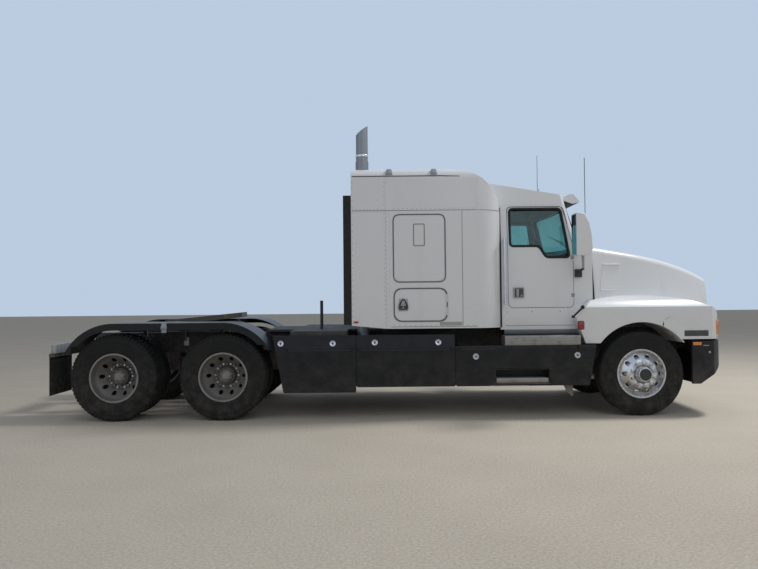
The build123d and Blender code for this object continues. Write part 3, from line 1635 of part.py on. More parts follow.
# Side extenders carry the sleeper's sides back over the deck and roll in at the top
with BuildPart() as side_extenders:
    with BuildSketch(Plane.YZ.offset(extender_back_x)):
        for inset, mode in ((0, Mode.ADD), (extender_thickness, Mode.SUBTRACT)):
            half = sleeper_half_width - inset
            top = sleeper_top_z - inset
            with BuildLine():
                Polyline((0, 0), (half, 0), (half, sleeper_top_z - sleeper_corner_r))
                RadiusArc((half, sleeper_top_z - sleeper_corner_r),
                          (sleeper_half_width - sleeper_corner_r, top), inset - sleeper_corner_r)
                Polyline((sleeper_half_width - sleeper_corner_r, top), (0, top), (0, 0))
            make_face(mode=mode)
    extrude(amount=sleeper_back_x - extender_back_x)
    with BuildSketch(Plane.XZ):
        Polygon(
            (sleeper_back_x + 1, 0),
            (sleeper_back_x + 1, sleeper_bottom_z),
            (sleeper_back_x, sleeper_bottom_z),
            (extender_back_x, extender_low_z),
            (extender_back_x - 1, 0),
            align=None,
        )
    extrude(amount=2 * sleeper_half_width, both=True, mode=Mode.SUBTRACT)
    add(block((extender_back_x - 1, -1, 0), (sleeper_back_x + 1, extender_roll_y, 2 * sleeper_top_z)),
        mode=Mode.SUBTRACT)
    mirror(about=Plane.XZ)
save(side_extenders.part, "side_extenders")

with BuildPart() as rubber_flaps:
    strip_y = sleeper_half_width - extender_thickness / 2
    add(block((extender_back_x - strip_width, -strip_y - 4, extender_low_z + 10),
              (extender_back_x, -strip_y + 4, extender_high_z - 10)))
    add(block((flap_back_x, -flap_outer_y, flap_low_z),
              (flap_back_x + flap_thickness, -flap_inner_y, flap_high_z)))
    mirror(about=Plane.XZ)
save(rubber_flaps.part, "rubber_flaps")

# Upright exhaust behind the sleeper, cut off at a slant
with BuildPart() as exhaust:
    add(rod((stack_x, stack_y, stack_low_z), (stack_x, stack_y, overall_height), stack_r))
    with BuildSketch(Plane.XZ.offset(-stack_y)):
        Polygon(
            (stack_x - stack_r - 1, overall_height - stack_slant),
            (stack_x + stack_r + 1, overall_height + 2),
            (stack_x - stack_r - 1, overall_height + 2),
            align=None,
        )
    extrude(amount=2 * stack_r, both=True, mode=Mode.SUBTRACT)
    add(rod((stack_x, stack_y, collar_z), (stack_x, stack_y, overall_height + 2), stack_r - stack_wall),
        mode=Mode.SUBTRACT)
    add(rod((stack_x, stack_y, muffler_low_z), (stack_x, stack_y, muffler_high_z), muffler_r))
    add(rod((stack_x, stack_y, muffler_high_z), (stack_x, stack_y, collar_z + 160), stack_r + 7))
    add(block((stack_x + muffler_r - 20, stack_y - 40, sleeper_seam_z - 330),
              (sleeper_back_x, stack_y + 40, sleeper_seam_z - 290)))
    add(block((stack_x - 50, stack_y, stack_low_z), (stack_x + 50, -rail_half_width, stack_low_z + 80)))
save(exhaust.part, "exhaust")

# Tandem fenders over the drive wheels, on brackets from the rails
fender_z = drive_tyre_r
with BuildPart() as rear_fenders:
    for grow, mode in ((fender_wall, Mode.ADD), (0, Mode.SUBTRACT)):
        reach = fender_r + grow
        with BuildSketch(Plane.XZ.offset(fender_inner_y - (0 if grow else 1))):
            with Locations((drive_axle_xs[0], fender_z), (drive_axle_xs[1], fender_z)):
                Circle(reach)
            with Locations((bogie_x, fender_z + reach / 2)):
                Rectangle(bogie_spread, reach)
        extrude(amount=fender_outer_y - fender_inner_y - (0 if grow else fender_wall - 1), mode=mode)
    with BuildSketch(Plane.XZ):
        Polygon(
            (drive_axle_xs[1] - fender_r - 50, fender_z - fender_r - 50),
            (drive_axle_xs[0] + fender_r + 50, fender_z - fender_r - 50),
            (drive_axle_xs[0] + fender_r + 50, fender_front_z),
            (drive_axle_xs[0] + fender_lip_reach, fender_front_z),
            (drive_axle_xs[0] + fender_lip_reach, fender_front_z + 60),
            (drive_axle_xs[1] - fender_lip_reach, fender_front_z + 60),
            (drive_axle_xs[1] - fender_lip_reach, fender_rear_z),
            (drive_axle_xs[1] - fender_r - 50, fender_rear_z),
            align=None,
        )
        with Locations((drive_axle_xs[0], fender_z), (drive_axle_xs[1], fender_z)):
            Circle(fender_r - fender_lip)
        with Locations((bogie_x, fender_z + (fender_r - fender_lip) / 2)):
            Rectangle(bogie_spread, fender_r - fender_lip)
    extrude(amount=wide, mode=Mode.SUBTRACT)
    mirror(about=Plane.XZ)
save(rear_fenders.part, "rear_fenders")

with BuildPart() as fender_stays:
    bar_top = fender_z + fender_r
    post_outer_y = -fender_post_y - stay_size
    for station in (bogie_x + fender_stay_reach, bogie_x, bogie_x - fender_stay_reach):
        with Locations((station, -rail_half_width, stay_foot_z)):
            Box(stay_size, -rail_half_width - post_outer_y, stay_size, align=reaching)
        back, front = station - stay_size / 2, station + stay_size / 2
        add(block((back, post_outer_y, stay_foot_z - stay_size / 2), (front, -fender_post_y, bar_top)))
        add(block((back, fender_wall - fender_outer_y, bar_top - stay_size),
                  (front, -fender_post_y, bar_top)))
    add(block((flap_back_x + flap_thickness, -flap_outer_y, flap_bar_z),
              (flap_back_x + flap_thickness + stay_size, 0, flap_bar_z + stay_size)))
    add(block((flap_back_x + flap_thickness, -rail_half_width, flap_bar_z),
              (frame_back_x, rail_flange - rail_half_width, flap_bar_z + stay_size)))
    mirror(about=Plane.XZ)
save(fender_stays.part, "fender_stays")

# Fifth wheel: a horseshoe plate that tips on two pins
rest_angle = radians(fifth_rest)
fifth_plane = Plane(origin=(fifth_x, 0, fifth_pivot_z), x_dir=(cos(rest_angle), 0, sin(rest_angle)),
                    z_dir=(-sin(rest_angle), 0, cos(rest_angle)))
with BuildPart() as fifth_wheel:
    with BuildSketch(fifth_plane.offset(fifth_rise - fifth_lip)) as horseshoe:
        with BuildLine():
            Polyline(
                (fifth_front - 190, fifth_half),
                (-fifth_shoulder, fifth_half),
                (-fifth_back, horn_outer),
                (-fifth_back, horn_inner),
                (throat_x - 160, kingpin_throat_r + 42),
                (throat_x, kingpin_throat_r),
                (throat_x, 0),
                (fifth_front, 0),
                (fifth_front, fifth_half - 250),
            )
            Line((fifth_front, fifth_half - 250), (fifth_front - 190, fifth_half))
        make_face()
        mirror(about=Plane.XZ)
        with Locations((throat_x, 0)):
            Circle(kingpin_throat_r, mode=Mode.SUBTRACT)
    extrude(amount=fifth_lip)
    with BuildSketch(fifth_plane.offset(fifth_rise - fifth_lip)):
        offset(horseshoe.sketch_local, amount=-26)
    extrude(amount=fifth_lip - 16, mode=Mode.SUBTRACT)
    with BuildSketch(fifth_plane.offset(fifth_rise - fifth_rib)):
        for sign in (-1, 1):
            with Locations((0, sign * (fifth_half - 55))):
                Rectangle(210, 70)
            with Locations((0, sign * (kingpin_throat_r + 60))):
                Rectangle(420, 24)
        with Locations((throat_x + 90, 0)):
            Rectangle(60, 2 * kingpin_throat_r + 120)
    extrude(amount=fifth_rib - 8)
    for sign in (-1, 1):
        with BuildSketch(Plane.XZ.offset(-sign * fifth_ear_y)):
            with Locations((fifth_x, fifth_pivot_z)):
                Circle(fifth_ear_r)
                Rectangle(2 * fifth_ear_r, fifth_rise - 10, align=(Align.CENTER, Align.MIN))
            with Locations((fifth_x, fifth_pivot_z)):
                Circle(fifth_pin_r + pin_gap, mode=Mode.SUBTRACT)
        extrude(amount=fifth_ear_width / 2, both=True)
save(fifth_wheel.part, "fifth_wheel")

with BuildPart() as fifth_wheel_mount:
    for sign in (-1, 1):
        low_y, high_y = sorted((sign * (rail_half_width - rail_flange), sign * (rail_half_width + 30)))
        add(block((fifth_x - 420, low_y, rail_top_z), (fifth_x + 420, high_y, rail_top_z + 14)))
        for wall_y in (fifth_ear_y - fifth_ear_width / 2 - 18, fifth_ear_y + fifth_ear_width / 2 + 2):
            with BuildSketch(Plane.XZ.offset(-sign * wall_y)):
                with BuildLine():
                    Polyline(
                        (fifth_x - 150, rail_top_z + 14),
                        (fifth_x + 150, rail_top_z + 14),
                        (fifth_x + 42, fifth_pivot_z + 32),
                        (fifth_x - 42, fifth_pivot_z + 32),
                        close=True,
                    )
                make_face()
            extrude(amount=-sign * 16)
        with BuildSketch(Plane.XZ.offset(-sign * fifth_ear_y)):
            with Locations((fifth_x, fifth_pivot_z)):
                Circle(fifth_pin_r)
        extrude(amount=fifth_ear_width / 2 + 18, both=True)
save(fifth_wheel_mount.part, "fifth_wheel_mount")

# Deck plates behind the sleeper, with the post that holds the trailer's lines
with BuildPart() as deck:
    add(block((deck_back_x, -deck_narrow, rail_top_z),
              (deck_front_x, deck_narrow, rail_top_z + deck_thickness)))
    add(block((deck_box_back_x, -deck_half, rail_top_z),
              (deck_box_front_x, deck_half, rail_top_z + deck_thickness)))
    for sign in (-1, 1):
        low_y, high_y = sorted((sign * rail_half_width, sign * deck_half))
        add(block((deck_box_back_x, low_y, deck_box_low_z), (deck_box_front_x, high_y, rail_top_z)))
    add(rod((post_x, post_y, rail_top_z), (post_x, post_y, post_top_z), post_r))
save(deck.part, "deck")

# Mirrors stand on arms from the cowl, outside the doors' swing
with BuildPart() as mirrors:
    with BuildSketch(Plane.XZ.offset(mirror_inner_y)) as shell:
        Polygon(*mirror_corners, align=None)
        fillet(shell.vertices().sort_by(Axis.X)[2:], mirror_round)
    extrude(amount=mirror_width)
    arm_y = -mirror_inner_y - mirror_arm_inset
    elbow = (mirror_foot_x, arm_y, mirror_foot_z + mirror_foot_half)
    add(rod((mirror_foot_x, arm_y, mirror_low_z + 4), elbow, mirror_arm_r))
    add(rod(elbow, (mirror_foot_x, -cab_half_width + 30, mirror_foot_z), mirror_arm_r))
    add(block((mirror_foot_x - 42, -cab_half_width - 30, mirror_foot_z - mirror_foot_half),
              (mirror_foot_x + 42, -cab_half_width + 60, mirror_foot_z + mirror_foot_half)))
    add(cab_outside, mode=Mode.SUBTRACT)
    antenna_foot = (antenna_x, -mirror_inner_y - antenna_inset, mirror_high_z - antenna_root)
    add(rod(antenna_foot, (antenna_x, -mirror_inner_y - antenna_inset, antenna_top_z), antenna_r))
    mirror(about=Plane.XZ)
save(mirrors.part, "mirrors")
with BuildPart() as mirror_glass:
    add(block((mirror_back_x - 4, -mirror_inner_y - mirror_width + 12, mirror_low_z + 14),
              (mirror_back_x, -mirror_inner_y - 12, mirror_high_z - 14)))
    mirror(about=Plane.XZ)
save(mirror_glass.part, "mirror_glass")

# Small lamps: red ones behind, amber and red ones along the sides
with BuildPart() as marker_lamps:
    for x, y, z, length, height in marker_table:
        with Locations((x, -y, z)):
            Box(length, marker_depth, height, align=(Align.CENTER, Align.MAX, Align.CENTER))
    add(block((flap_back_x + flap_thickness, -flap_outer_y + 20, flap_bar_z + stay_size),
              (flap_back_x + flap_thickness + tail_lamp_depth, -tail_lamp_inner_y, tail_lamp_top_z)))
    mirror(about=Plane.XZ)
save(marker_lamps.part, "marker_lamps")

# Inside: dashboard with the steering wheel, two seats and the bunk's mattress
with BuildPart() as dashboard:
    add(side_prism(dash_corners, 0, -dash_half, dash_half))
    add(cab_inside, mode=Mode.INTERSECT)
    tilt = radians(steering_tilt)
    hub = Vector(steering_x, steering_y, steering_z)
    away = Vector(cos(tilt), 0, -sin(tilt))
    add(rod(hub, hub + away * steering_column, 26))
    with BuildSketch(Plane(origin=hub, x_dir=(0, 1, 0), z_dir=away)):
        Circle(60)
        for turn in (90, 210, 330):
            with Locations(Rotation(0, 0, turn)):
                Rectangle(steering_r, 30, align=(Align.MIN, Align.CENTER))
    extrude(amount=12)
    with BuildSketch(Plane(origin=hub, x_dir=(0, 1, 0), z_dir=(sin(tilt), 0, cos(tilt)))):
        with Locations((steering_r, 0)):
            Circle(15)
    revolve(axis=Axis(hub, away))
save(dashboard.part, "dashboard")

with BuildPart() as seats:
    for sign in (-1, 1):
        with BuildSketch(Plane.XZ.offset(-sign * seat_y)) as outline:
            Polygon(*seat_corners, align=None)
            fillet(outline.vertices(), 35)
        extrude(amount=seat_width / 2, both=True)
save(seats.part, "seats")
with BuildPart() as bunk:
    inner = sleeper_half_width - cab_wall - 12
    add(block((sleeper_back_x + cab_wall + 10, -inner, bunk_z + bunk_board_thickness + fit_gap),
              (bunk_front_x - 10, inner, bunk_z + bunk_board_thickness + mattress_thickness)))
    fillet(bunk.edges(), 40)
save(bunk.part, "bunk")
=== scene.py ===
# %% [markdown]
# A sleeper-cab highway tractor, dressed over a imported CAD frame. The frame gives
# every body its place and size in metres, +X forward and +Z up, and each piece made
# here rides on one of its bodies, so doors, hood and wheels still move.

# %% Load the frame
import json
from math import pi, radians

import bpy
from mathutils import Matrix, Vector

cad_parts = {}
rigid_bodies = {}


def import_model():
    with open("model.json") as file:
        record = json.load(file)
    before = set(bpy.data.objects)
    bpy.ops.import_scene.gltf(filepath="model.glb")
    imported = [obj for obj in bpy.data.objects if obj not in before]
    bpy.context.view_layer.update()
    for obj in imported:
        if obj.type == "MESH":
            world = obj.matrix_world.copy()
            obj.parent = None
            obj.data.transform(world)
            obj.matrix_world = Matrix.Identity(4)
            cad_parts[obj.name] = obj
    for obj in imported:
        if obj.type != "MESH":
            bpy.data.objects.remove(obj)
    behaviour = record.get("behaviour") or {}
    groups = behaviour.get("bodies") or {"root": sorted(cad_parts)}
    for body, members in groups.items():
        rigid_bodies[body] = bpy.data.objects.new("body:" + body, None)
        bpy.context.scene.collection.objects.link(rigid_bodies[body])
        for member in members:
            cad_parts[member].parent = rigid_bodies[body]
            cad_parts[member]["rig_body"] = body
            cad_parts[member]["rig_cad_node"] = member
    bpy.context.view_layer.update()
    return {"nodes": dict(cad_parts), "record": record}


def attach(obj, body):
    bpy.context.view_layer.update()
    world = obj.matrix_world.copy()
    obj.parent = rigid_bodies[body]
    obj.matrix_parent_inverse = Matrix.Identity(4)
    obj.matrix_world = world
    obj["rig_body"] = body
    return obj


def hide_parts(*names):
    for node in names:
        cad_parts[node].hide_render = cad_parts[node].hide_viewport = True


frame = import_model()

nodes = frame["nodes"]
bodies = frame["record"]["behaviour"]["bodies"]
body_of = {node: body for body, members in bodies.items() for node in members}

# %% [markdown]
# A finish is worked out as an expression on sockets, the way a painter mixes: dust
# times height plus a little noise. The nodes could be placed and linked one by one,
# but for more than thirty finishes that would hide the recipe. So the small class
# below wraps one socket of a node tree and turns + - and * into Math nodes. Any other
# node comes from Finish.node, which takes its type, its settings and then its inputs.

# %% Socket arithmetic and the Finish class
class Channel:
    """One output socket, with arithmetic."""

    def __init__(self, finish, socket):
        self.finish = finish
        self.socket = socket

    def maths(self, operation, *terms, clamp=False):
        settings = {"operation": operation, "use_clamp": clamp}
        return self.finish.node("ShaderNodeMath", settings, *terms)

    def __add__(self, other):
        return self.maths("ADD", self, other)

    def __sub__(self, other):
        return self.maths("SUBTRACT", self, other)

    def __rsub__(self, other):
        return self.maths("SUBTRACT", other, self)

    def __mul__(self, other):
        return self.maths("MULTIPLY", self, other)

    __radd__ = __add__
    __rmul__ = __mul__

    def clamped(self):
        return self.maths("ADD", self, 0.0, clamp=True)

    def above(self, low, high):
        """0 below low, 1 above high, and smooth between them."""
        return self.finish.node("ShaderNodeMapRange", {"interpolation_type": "SMOOTHSTEP"},
                                self, low, high, 0.0, 1.0)


class Finish:
    """A material and the nodes that make it."""

    def __init__(self, name):
        self.material = bpy.data.materials.new(name)
        self.material.use_nodes = True
        self.tree = self.material.node_tree
        self.shader = self.tree.nodes["Principled BSDF"]

    def node(self, kind, settings=None, *inputs, out=0, **named):
        node = self.tree.nodes.new(kind)
        for setting, value in (settings or {}).items():
            setattr(node, setting, value)
        for index, value in enumerate(inputs):
            self.feed(node.inputs[index], value)
        for name, value in named.items():
            self.feed(node.inputs[name.replace("_", " ")], value)
        return Channel(self, node.outputs[out])

    def feed(self, socket, value):
        if isinstance(value, Channel):
            self.tree.links.new(value.socket, socket)
        else:
            socket.default_value = value

    def place(self):
        """Object coordinates: metres in the frame's own axes."""
        return self.node("ShaderNodeTexCoord", out=3)

    def along(self, axis):
        """The height or station of a point, by axis name."""
        return self.node("ShaderNodeSeparateXYZ", None, self.place(), out="XYZ".index(axis))

    def noise(self, scale, detail=3.0, rough=0.55, stretch=None):
        """Soft mottling; stretch makes it streaky along an axis."""
        vector = self.place()
        if stretch:
            vector = self.node("ShaderNodeMapping", None, Vector=vector, Scale=stretch)
        return self.node("ShaderNodeTexNoise", None, Vector=vector, Scale=scale,
                         Detail=detail, Roughness=rough)

    def mix(self, factor, first, second):
        """Two colours or socket values mixed as colours."""
        node = self.tree.nodes.new("ShaderNodeMix")
        node.data_type = "RGBA"
        self.feed(node.inputs[0], factor)
        for socket, value in ((node.inputs[6], first), (node.inputs[7], second)):
            self.feed(socket, value if isinstance(value, Channel) else (*value[:3], 1.0))
        return Channel(self, node.outputs[2])

    def bump(self, height, strength, distance=0.001):
        """A normal that rises and falls with height."""
        self.feed(self.shader.inputs["Normal"],
                  self.node("ShaderNodeBump", None, Strength=strength, Distance=distance,
                            Height=height))

    def set(self, **values):
        """Feed the shader's sockets by name."""
        for name, value in values.items():
            if name == "Base_Color" and not isinstance(value, Channel):
                value = (*value[:3], 1.0)
            self.feed(self.shader.inputs[name.replace("_", " ")], value)


# %% [markdown]
# Road dust settles on a truck from below: thick near the wheels, thin on the roof.
# It could be painted on each piece, but then pieces side by side wouldn't match. One
# helper gives it as a mask of the height instead, so every outside finish shares the
# same dust and only its strength and grain change.

# %% Dust that fades with height
DUST = (0.42, 0.385, 0.335)


def dusty(finish, colour, amount, top=1.6, grain=9.0):
    """Colour with road dust over it, thickest at the ground and gone at top."""
    height = finish.along("Z")
    fade = 1.0 - height.above(0.1, top)
    patches = finish.noise(grain, 6.0, 0.65).above(0.32, 0.75)
    dust = (fade * patches * amount).clamped()
    return finish.mix(dust, colour, DUST), dust


# %% [markdown]
# The cab is gloss white paint over sheet metal and glass fibre. It is not a flat
# white: there is a faint ripple in the gloss, thin grey streaks that run down from
# the seams, and dust along the bottom edges. A noise squeezed in height draws the
# streaks, because rain pulls real ones straight down.

# %% White cab paint
def white_paint():
    paint = Finish("cab_paint")
    streaks = paint.noise(5.0, 5.0, 0.6, stretch=(1.0, 1.0, 0.12)).above(0.5, 0.85)
    tone = paint.mix(streaks * 0.35, (0.80, 0.815, 0.83), (0.60, 0.60, 0.585))
    colour, dust = dusty(paint, tone, 0.35, top=1.7)
    specks = paint.noise(160.0, 2.0, 0.5).above(0.72, 0.76)
    colour = paint.mix(specks * 0.25, colour, (0.25, 0.22, 0.19))
    paint.set(Base_Color=colour, Roughness=dust * 0.4 + streaks * 0.08 + 0.26,
              Coat_Weight=0.35, Coat_Roughness=0.08)
    paint.bump(paint.noise(3.2, 2.0, 0.4), 0.12, 0.01)
    return paint.material


# %% [markdown]
# Skirts, bumper and fenders are black. Satin black shows every scuff, so its
# roughness wanders and pale dust gathers in patches low down. The chassis is painted
# black too, but the paint has gone in places: two noises, a broad one for where the
# rust is and a fine one for its grain, look less regular than one.

# %% Black panels and rusty iron
def black_panel(name, base, amount, rough):
    panel = Finish(name)
    scuffs = panel.noise(14.0, 8.0, 0.7, stretch=(0.35, 1.0, 1.0)).above(0.55, 0.8)
    tone = panel.mix(scuffs * 0.25, base, (0.07, 0.068, 0.065))
    colour, dust = dusty(panel, tone, amount, top=1.3, grain=5.0)
    panel.set(Base_Color=colour, Roughness=dust * 0.35 + scuffs * 0.12 + rough,
              Specular_IOR_Level=0.25)
    panel.bump(panel.noise(40.0, 4.0, 0.6), 0.08, 0.003)
    return panel.material


def rusty(name, base, rust, amount, rough=0.6, metallic=0.0, grain=11.0):
    """Painted or bare iron with brown rust breaking through, then dust."""
    iron = Finish(name)
    patches = iron.noise(grain, 8.0, 0.68).above(0.5, 0.68) * amount
    fine = iron.noise(grain * 9.0, 5.0, 0.7)
    dark_rust = (rust[0] * 0.45, rust[1] * 0.4, rust[2] * 0.4)
    tone = iron.mix(patches, base, iron.mix(fine, rust, dark_rust))
    colour, dust = dusty(iron, tone, 0.45, top=1.5, grain=7.0)
    iron.set(Base_Color=colour, Metallic=(1.0 - patches - dust).clamped() * metallic,
             Roughness=(patches * 0.3 + fine * 0.12 + rough).clamped())
    iron.bump(fine + patches * 2.0, 0.25, 0.002)
    return iron.material


# %% [markdown]
# Tyre rubber is a very dark warm grey, never black, with a dull sheen and dust in its
# pores. Fine mould lines run round a sidewall. A wave in rings about each axle could
# draw them, but the ridges of the spun section carry them as real relief, so the
# finish only adds mottling and grain.

# %% Rubber
def rubber(name, base, amount):
    gum = Finish(name)
    mottled = gum.mix(gum.noise(22.0, 6.0, 0.6), base, tuple(1.8 * c for c in base))
    colour, dust = dusty(gum, mottled, amount, top=1.15, grain=12.0)
    gum.set(Base_Color=colour, Roughness=dust * 0.2 + 0.72, Specular_IOR_Level=0.2)
    gum.bump(gum.noise(240.0, 3.0, 0.5), 0.2, 0.001)
    return gum.material


# %% [markdown]
# Bright metal is mostly the sky and ground that it mirrors. Each kind differs in how
# rough and how dusty it is: polished wheels, dulled chrome, plain steel. Dust isn't
# metal, so the same mask that colours it also takes the Metallic value down.

# %% Bright metals
def bright(name, base, rough, dust_amount=0.4, scratch=0.06, top=1.2):
    metal = Finish(name)
    wear = metal.noise(30.0, 6.0, 0.6)
    colour, dust = dusty(metal, base, dust_amount, top=top, grain=14.0)
    metal.set(Base_Color=colour, Metallic=1.0 - dust,
              Roughness=(wear * scratch * 2.0 + dust * 0.5 + rough).clamped())
    metal.bump(metal.noise(60.0, 3.0, 0.5), 0.02, 0.0006)
    return metal.material


# %% [markdown]
# The cab's glass is tinted green blue. Alpha could fake it, but light that really
# passes through the pane makes two panes in line read darker than one, as they do in
# a real cab. A lamp lens is coloured plastic with fine flutes, which a wave draws.

# %% Glass and lenses
def tinted_glass():
    pane = Finish("tinted_glass")
    smears = pane.noise(6.0, 5.0, 0.6).above(0.45, 0.8)
    pane.set(Base_Color=pane.mix(smears * 0.4, (0.30, 0.58, 0.55), (0.26, 0.46, 0.45)),
             Roughness=smears * 0.05 + 0.01, Transmission_Weight=1.0, IOR=1.45)
    return pane.material


def lens(name, colour, flute):
    cover = Finish(name)
    ridges = cover.node("ShaderNodeTexWave", {"wave_type": "BANDS", "bands_direction": "Y"},
                        cover.place(), flute)
    cover.set(Base_Color=cover.mix(ridges * 0.35, colour, tuple(0.55 * c for c in colour)),
              Roughness=ridges * 0.1 + 0.12, Coat_Weight=0.5)
    cover.bump(ridges, 0.35, 0.002)
    return cover.material


# %% [markdown]
# Inside are woven cloth and soft moulded plastic. Threads are too fine to model, so
# two crossed waves lift and darken them. The plastic has a pebbled grain, for which
# the rounded cells of a Voronoi texture suit better than noise.

# %% Cloth and soft plastic
THREADS = 700.0 / 6


def cloth(name, base):
    weave = Finish(name)
    warp = weave.node("ShaderNodeTexWave", {"bands_direction": "X"}, weave.place(), THREADS)
    weft = weave.node("ShaderNodeTexWave", {"bands_direction": "Z"}, weave.place(), THREADS)
    threads = warp * weft
    worn = weave.noise(5.0, 4.0, 0.6)
    pale = tuple(1.7 * c + 0.01 for c in base)
    weave.set(Base_Color=weave.mix(threads * 0.5 + worn * 0.25, base, pale),
              Roughness=0.9, Sheen_Weight=0.3)
    weave.bump(threads + worn * 0.3, 0.5, 0.002)
    return weave.material


def moulded(name, base, rough=0.55):
    plastic = Finish(name)
    grain = plastic.node("ShaderNodeTexVoronoi", None, plastic.place(), Scale=420.0)
    worn = plastic.noise(7.0, 4.0, 0.6)
    plastic.set(Base_Color=plastic.mix(worn * 0.5, base, tuple(1.5 * c for c in base)),
                Roughness=worn * 0.15 + rough)
    plastic.bump(grain, 0.15, 0.0008)
    return plastic.material


# %% [markdown]
# With the recipes written, one table gives each finish its numbers: colour, rust or
# dust colour, how much of it, and how rough it is. A table is easier to tune against
# the photograph than numbers spread over the script. Each CAD node starts in the
# finish that its record names.

# %% All the finishes
finishes = {
    "cab_paint": white_paint(),
    "black_panels": black_panel("black_panels", (0.010, 0.0105, 0.0115), 0.10, 0.36),
    "bumper_black": black_panel("bumper_black", (0.016, 0.016, 0.018), 0.14, 0.5),
    "frame_paint": rusty("frame_paint", (0.03, 0.03, 0.032), (0.16, 0.085, 0.045), 0.5),
    "tyre": rubber("tyre", (0.011, 0.0108, 0.0105), 0.11),
    "polished_wheel": bright("polished_wheel", (0.62, 0.62, 0.62), 0.22, 0.3),
    "steel_wheel": rusty("steel_wheel", (0.24, 0.232, 0.222), (0.17, 0.10, 0.065),
                         0.6, 0.45, 0.45, 14.0),
    "tinted_glass": tinted_glass(),
    "lamp_lens": lens("lamp_lens", (0.72, 0.75, 0.78), 70.0),
    "amber_lens": lens("amber_lens", (0.85, 0.28, 0.03), 80.0),
    "red_lens": lens("red_lens", (0.42, 0.02, 0.015), 80.0),
    "bright_trim": bright("bright_trim", (0.62, 0.63, 0.65), 0.2, 0.45, top=1.4),
    "axle_iron": rusty("axle_iron", (0.06, 0.055, 0.05), (0.2, 0.11, 0.06), 0.8, 0.7),
    "spring_steel": rusty("spring_steel", (0.07, 0.06, 0.055), (0.22, 0.12, 0.07), 0.8, 0.7),
    "engine_paint": rusty("engine_paint", (0.16, 0.165, 0.175), (0.14, 0.09, 0.06), 0.4, 0.5),
    "core_aluminium": bright("core_aluminium", (0.3, 0.3, 0.31), 0.45, 0.2),
    "rubber": rubber("rubber", (0.02, 0.02, 0.02), 0.2),
    "stack_metal": bright("stack_metal", (0.24, 0.245, 0.25), 0.34, 0.1, 0.12),
    "fifth_wheel_steel": rusty("fifth_wheel_steel", (0.09, 0.075, 0.06), (0.2, 0.11, 0.055),
                               0.7, 0.45, 0.4),
    "mirror": bright("mirror", (0.6, 0.62, 0.64), 0.03, 0.0, 0.01),
    "cabin_floor": moulded("cabin_floor", (0.05, 0.05, 0.052), 0.8),
    "dark_trim": moulded("dark_trim", (0.035, 0.035, 0.038)),
    "cap_black": moulded("cap_black", (0.03, 0.03, 0.032), 0.35),
    "hub_rust": rusty("hub_rust", (0.085, 0.06, 0.048), (0.13, 0.065, 0.04),
                      0.8, 0.65, 0.0, 24.0),
    "rivet_grey": moulded("rivet_grey", (0.40, 0.41, 0.42), 0.35),
    "gasket_grey": moulded("gasket_grey", (0.14, 0.145, 0.15), 0.6),
    "plate_grey": bright("plate_grey", (0.30, 0.31, 0.32), 0.4, 0.1),
    "plate_dark": moulded("plate_dark", (0.06, 0.062, 0.068), 0.4),
    "handle_grey": moulded("handle_grey", (0.33, 0.34, 0.35), 0.4),
    # Painted shade: the sill is white paint rolling under the cab, coloured grey blue for its shade
    # and the sky it reflects.
    "sill_painted_shade": moulded("sill_painted_shade", (0.17, 0.185, 0.20), 0.25),
    "step_aluminium": rusty("step_aluminium", (0.27, 0.26, 0.235), (0.15, 0.13, 0.105),
                            0.5, 0.4, 0.7, 16.0),
    "flap_grey": rubber("flap_grey", (0.16, 0.16, 0.13), 0.4),
    "galvanised": rusty("galvanised", (0.36, 0.37, 0.38), (0.12, 0.11, 0.10),
                        0.8, 0.45, 0.5, 26.0),
    "seat_cloth": cloth("seat_cloth", (0.10, 0.10, 0.115)),
    "bunk_cloth": cloth("bunk_cloth", (0.30, 0.30, 0.32)),
}
slot_of = {entry["node"]: entry["material_slot"] for entry in frame["record"]["subparts"]}
for name, node in nodes.items():
    node.data.materials.clear()
    node.data.materials.append(finishes[slot_of[name]])
nodes["bumper"].data.materials[0] = finishes["bumper_black"]
print(len(finishes), "finishes")

# %% [markdown]
# The photograph was taken square to the truck's right side from nine and a half
# metres, a little below a standing person's eye height. The camera repeats that, with
# the slight upward tilt and the half degree of roll that the horizon shows. It could
# be lined up by eye, but its focal length and place were worked out from the wheels,
# whose size is known. It goes in first, so every piece can be judged from there.

# %% Camera
PIXELS_WIDE = 758
FOCAL_PIXELS = 685
TILT = radians(91.2)
ROLL = -0.0095

optics = bpy.data.cameras.new("camera")
optics.sensor_width = 36
optics.lens = FOCAL_PIXELS / PIXELS_WIDE * optics.sensor_width
optics.clip_end = 400
camera = bpy.data.objects.new("camera", optics)
bpy.context.scene.collection.objects.link(camera)
camera.location = (-0.165, -9.5, 1.455)
aim = Matrix.Rotation(TILT, 3, "X") @ Matrix.Rotation(ROLL, 3, "Z")
camera.rotation_euler = aim.to_euler()
bpy.context.scene.camera = camera
print("lens", round(optics.lens, 1), "mm")

# %% [markdown]
# The day was bright with the sun high ahead and beyond the truck, so its near side
# stands in its own shade while tops and the sleeper's front corner shine. A sun lamp
# would cast hard shadows, so one strong area lamp, high ahead and just past the middle,
# gives that, and two weak ones open the shade. The pale blue world is brighter where the
# camera and shiny metal see it, and its plain light on the truck stays lower. The floor
# has the mottled warm grey of crushed stone.

# %% Floor
bpy.ops.object.select_all(action="DESELECT")
bpy.ops.mesh.primitive_plane_add(size=120, location=(0, 0, 0))
floor = bpy.context.object
floor.name = "floor"
ground = Finish("floor")
pebbles = ground.noise(45.0, 6.0, 0.75).above(0.25, 0.75)
drifts = ground.noise(0.9, 5.0, 0.6)
ground.set(Base_Color=ground.mix(drifts * 0.35 + pebbles * 0.65,
                                 (0.40, 0.35, 0.285), (0.80, 0.72, 0.60)), Roughness=0.95)
floor.data.materials.append(ground.material)
print("floor finish of", len(ground.tree.nodes), "nodes")

